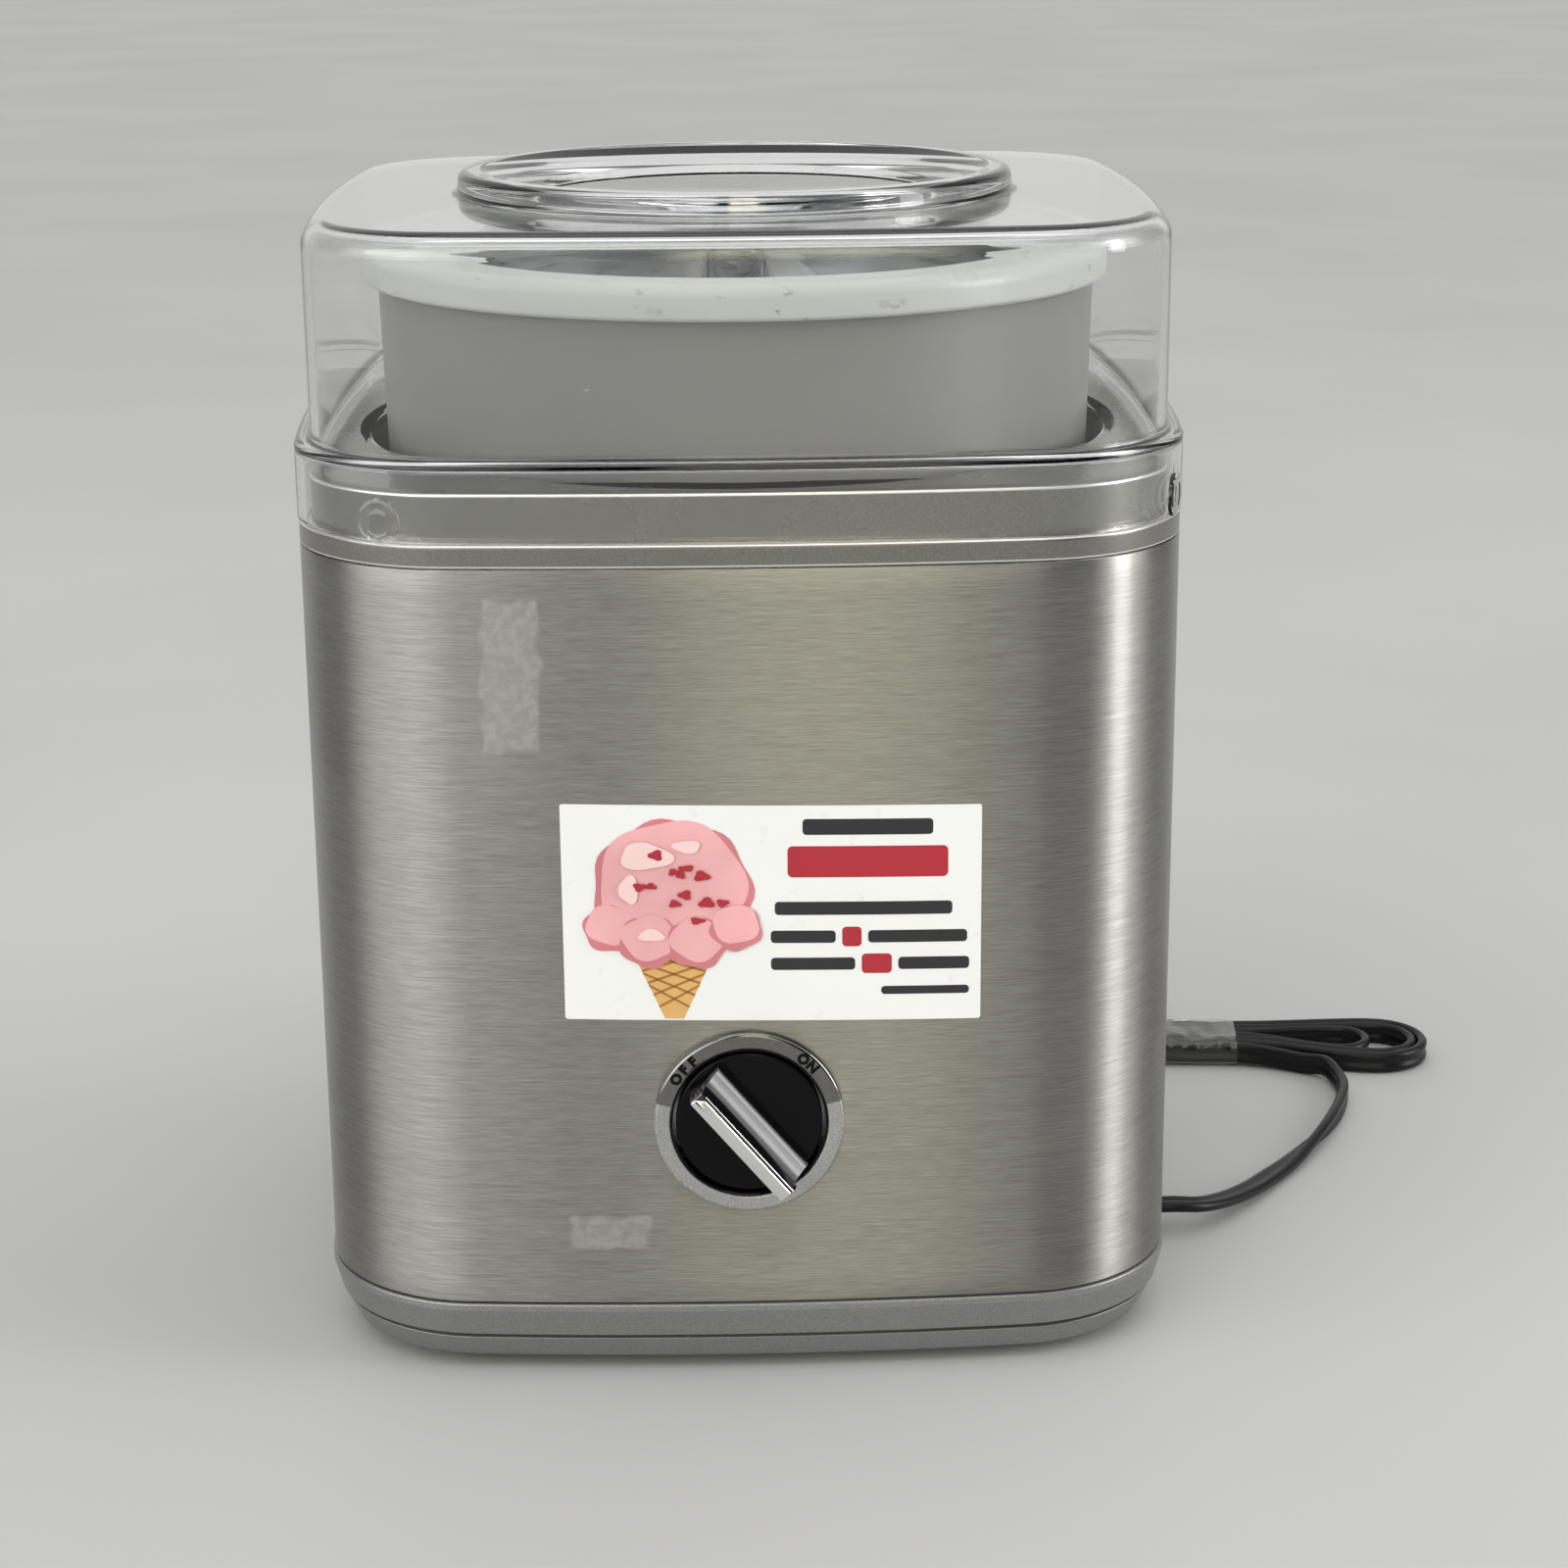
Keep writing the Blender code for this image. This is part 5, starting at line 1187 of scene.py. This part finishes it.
def make_plug():
    """Moulded two-blade plug with grip ribs, behind the machine."""
    tail = PLUG_TAIL
    sections = [(0.0, 2.6, 2.3, 0.0, 3.0), (5.0, 3.6, 3.2, 0.25, 2.6), (tail, 6.8, 5.2, 0.7, 2.8),
                (tail + 4, 9.3, 6.6, 1.0, 3.4)]
    ridge, groove = (9.9, 6.9, 1.0, 3.6), (8.9, 6.3, 1.0, 3.6)
    for shape, places in ((ridge, (6, 8.4)), (groove, (9, 10.4)), (ridge, (11, 13)),
                          (groove, (13.6, 15)), (ridge, (15.6,))):
        sections += [(tail + place, *shape) for place in places]
    sections += [(tail + 18, 9.9, 6.9, 1.0, 3.8), (tail + 24.6, 9.9, 6.9, 1.0, 4.0),
                 (tail + PLUG_BODY, 8.9, 6.0, 1.0, 4.0)]
    rings = []
    for distance, half_y, half_z, moved, fullness in sections:
        ring = []
        for step in range(48):
            y, z = squared_oval(math.tau * step / 48, half_y, half_z, 2 / fullness)
            ring.append((PLUG_X - distance, 1.2 + 1.3 * moved + y, 2.9 + 4.3 * moved + z))
        rings.append(ring)
    plug = skin("plug", rings, place=in_hank)
    pieces = [show(plug, "moulded_plug", "cord", "base", "black_rubber", "power_plug")]
    face = PLUG_X - tail - PLUG_BODY - GAP
    for side, y in BLADE_Y.items():
        plan = rounded_rectangle(face - 16, face, y - 0.75, y + 0.75, 0.3, 2)
        blade = skin("blade", [at(plan, BLADE_Z - 3.2), at(plan, BLADE_Z + 3.2)], place=in_hank)

        def across(point, y=y):
            a, b, c = point
            return in_hank((face - 11.5 + a, y + c, BLADE_Z + b))

        combine(blade, [turned("hole", [(1.5, -2), (1.5, 2)], 32, place=across)])
        soften(blade, 0.2, 2)
        name = f"plug_blade_{side}"
        pieces.append(show(blade, f"{name}_bright", "brass", "base", "brass", name))
    return pieces


def make_lead_and_plug():
    relief = make_relief()
    tape = make_tape()
    plug = make_plug()
    cord, centres, length = make_cord()
    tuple(centres[0])


# ---- inner pieces

INNER = {
    "gearbox": ["gearbox_housing", "gearbox_cover"],
    "black": ["rotary_switch"],
    "cord": ["supply_lead", "motor_lead"],
    "acetal": ["output_gear", "intermediate_gear", "drive_hub"],
    "brass": ["motor_pinion", "shaft_bush_lower", "shaft_bush_upper"],
    "iron": ["motor_core"],
    "copper": ["motor_coil"],
    "liner": ["motor_rotor"],
    "gel": ["bowl_coolant"],
    "bright": ["drive_shaft", "intermediate_pin", "motor_shaft", "motor_strap_upper", "motor_strap_lower",
               "switch_bracket", "knob_shaft", *(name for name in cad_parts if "screw" in name)],
}


def paint_inner():
    """Carried-over CAD pieces keep their shape and get a finished material."""
    for finish, names in INNER.items():
        for name in names:
            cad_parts[name].data.materials.clear()
            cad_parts[name].data.materials.append(FINISHES[finish])


# ---- stage

def make_world():
    """Soft studio round the object: pale, with a few brighter upright panels of light."""
    world = bpy.data.worlds.new("studio")
    bpy.context.scene.world = world
    world.use_nodes = True
    tree = world.node_tree
    background = tree.nodes["Background"]
    where = axes(tree, "Generated")
    azimuth = arithmetic(tree, 'ARCTAN2', where["X"], times(tree, where["Y"], -1.0))
    ramp = node(tree, "ValToRGB", Fac=spread(tree, azimuth, -math.pi, math.pi))
    warm, cool = (1.0, 0.945, 0.70), (1.0, 1.0, 0.985)
    panels = (
        (-180, 0.6), (-135, 0.5), (-115, 0.1), (-95, 0.2), (-80, 1.6), (-70, 2.4), (-39, 3.2),
        (-20, 2.2), (-14, 1.7), (-11.2, 1.2), (-9.8, 0.7), (-8.6, 0.0), (-3.8, 0.0), (-2.6, 1.3),
        (-1.6, 2.0), (9.2, 2.0), (10.8, 1.4), (12.0, 0.1), (16.5, 0.0), (54, 0.0), (62, 1.0),
        (72, 2.6), (86, 3.4), (96, 1.8), (104, 0.4), (120, 0.05), (134, 0.2), (150, 0.6),
    )
    stops = ramp.color_ramp.elements
    while len(stops) < len(panels):
        stops.new(0.5)
    top = max(level for _, level in panels)
    for stop, (degrees, level) in zip(stops, panels):
        tint = warm if -9 < degrees < 60 else cool
        stop.position = (degrees + 180) / 360
        stop.color = (*(level / top * channel for channel in tint), 1.0)
    high_up = spread(tree, where["Z"], 0.35, 0.75)
    sky = blend_colours(tree, high_up, ramp.outputs["Color"], (0.17, 0.17, 0.17))
    tree.links.new(sky, background.inputs["Color"])
    background.inputs["Strength"].default_value = 1.2 * top


def area_light(name, location, target, size, watts):
    data = bpy.data.lights.new(name, 'AREA')
    data.shape = 'RECTANGLE'
    data.size, data.size_y = size
    data.energy = watts
    light = add(name, data)
    light.location = location
    light.rotation_euler = (Vector(target) - Vector(location)).to_track_quat('-Z', 'Y').to_euler()


def make_stage():
    make_world()
    area_light("ceiling", (0.1, 0.2, 1.6), (0, 0, 0.1), (1.2, 1.2), 4)
    area_light("softbox_front", (-0.1, -0.75, 1.35), (0, 0, 0.2), (1.0, 0.35), 2.5)
    area_light("softbox_right", (1.3, -0.36, 0.5), (0, 0, 0.15), (0.3, 0.8), 4)
    material, tree, surface = shader("pale_floor", (0.52, 0.52, 0.515), 0.7)
    cloud = spread(tree, grain(tree, 3.0), 0.3, 0.7)
    set_colour(tree, surface, cloud, (0.50, 0.50, 0.495), (0.54, 0.54, 0.535))
    reach = 25.0
    square = [(-reach, -reach, 0), (reach, -reach, 0), (reach, reach, 0), (-reach, reach, 0)]
    mesh = bpy.data.meshes.new("floor")
    mesh.from_pydata(square, [], [(0, 1, 2, 3)])
    mesh.materials.append(material)
    add("floor", mesh)


def make_camera():
    """A camera in front of the machine and a little above it, looking slightly down."""
    data = bpy.data.cameras.new("camera")
    data.lens = 74.3
    data.sensor_width = 36.0
    camera = add("camera", data)
    pitch, yaw, roll = math.radians(90 - 16.28), math.radians(-1.152), math.radians(-0.5)
    turn = Matrix.Rotation(yaw, 4, 'Z') @ Matrix.Rotation(pitch, 4, 'X') @ Matrix.Rotation(roll, 4, 'Z')
    camera.matrix_world = Matrix.Translation((-0.00535, -0.80096, 0.35497)) @ turn
    bpy.context.scene.camera = camera
    bpy.context.scene.view_settings.view_transform = 'Standard'


make_camera()
FINISHES = make_finishes()
make_lead_and_plug()
make_steel()
make_collar()
make_cover()
make_well()
make_feet()
make_lid()
make_bowl()
make_paddle()
make_dial()
make_knob()
make_label()
paint_inner()
make_stage()
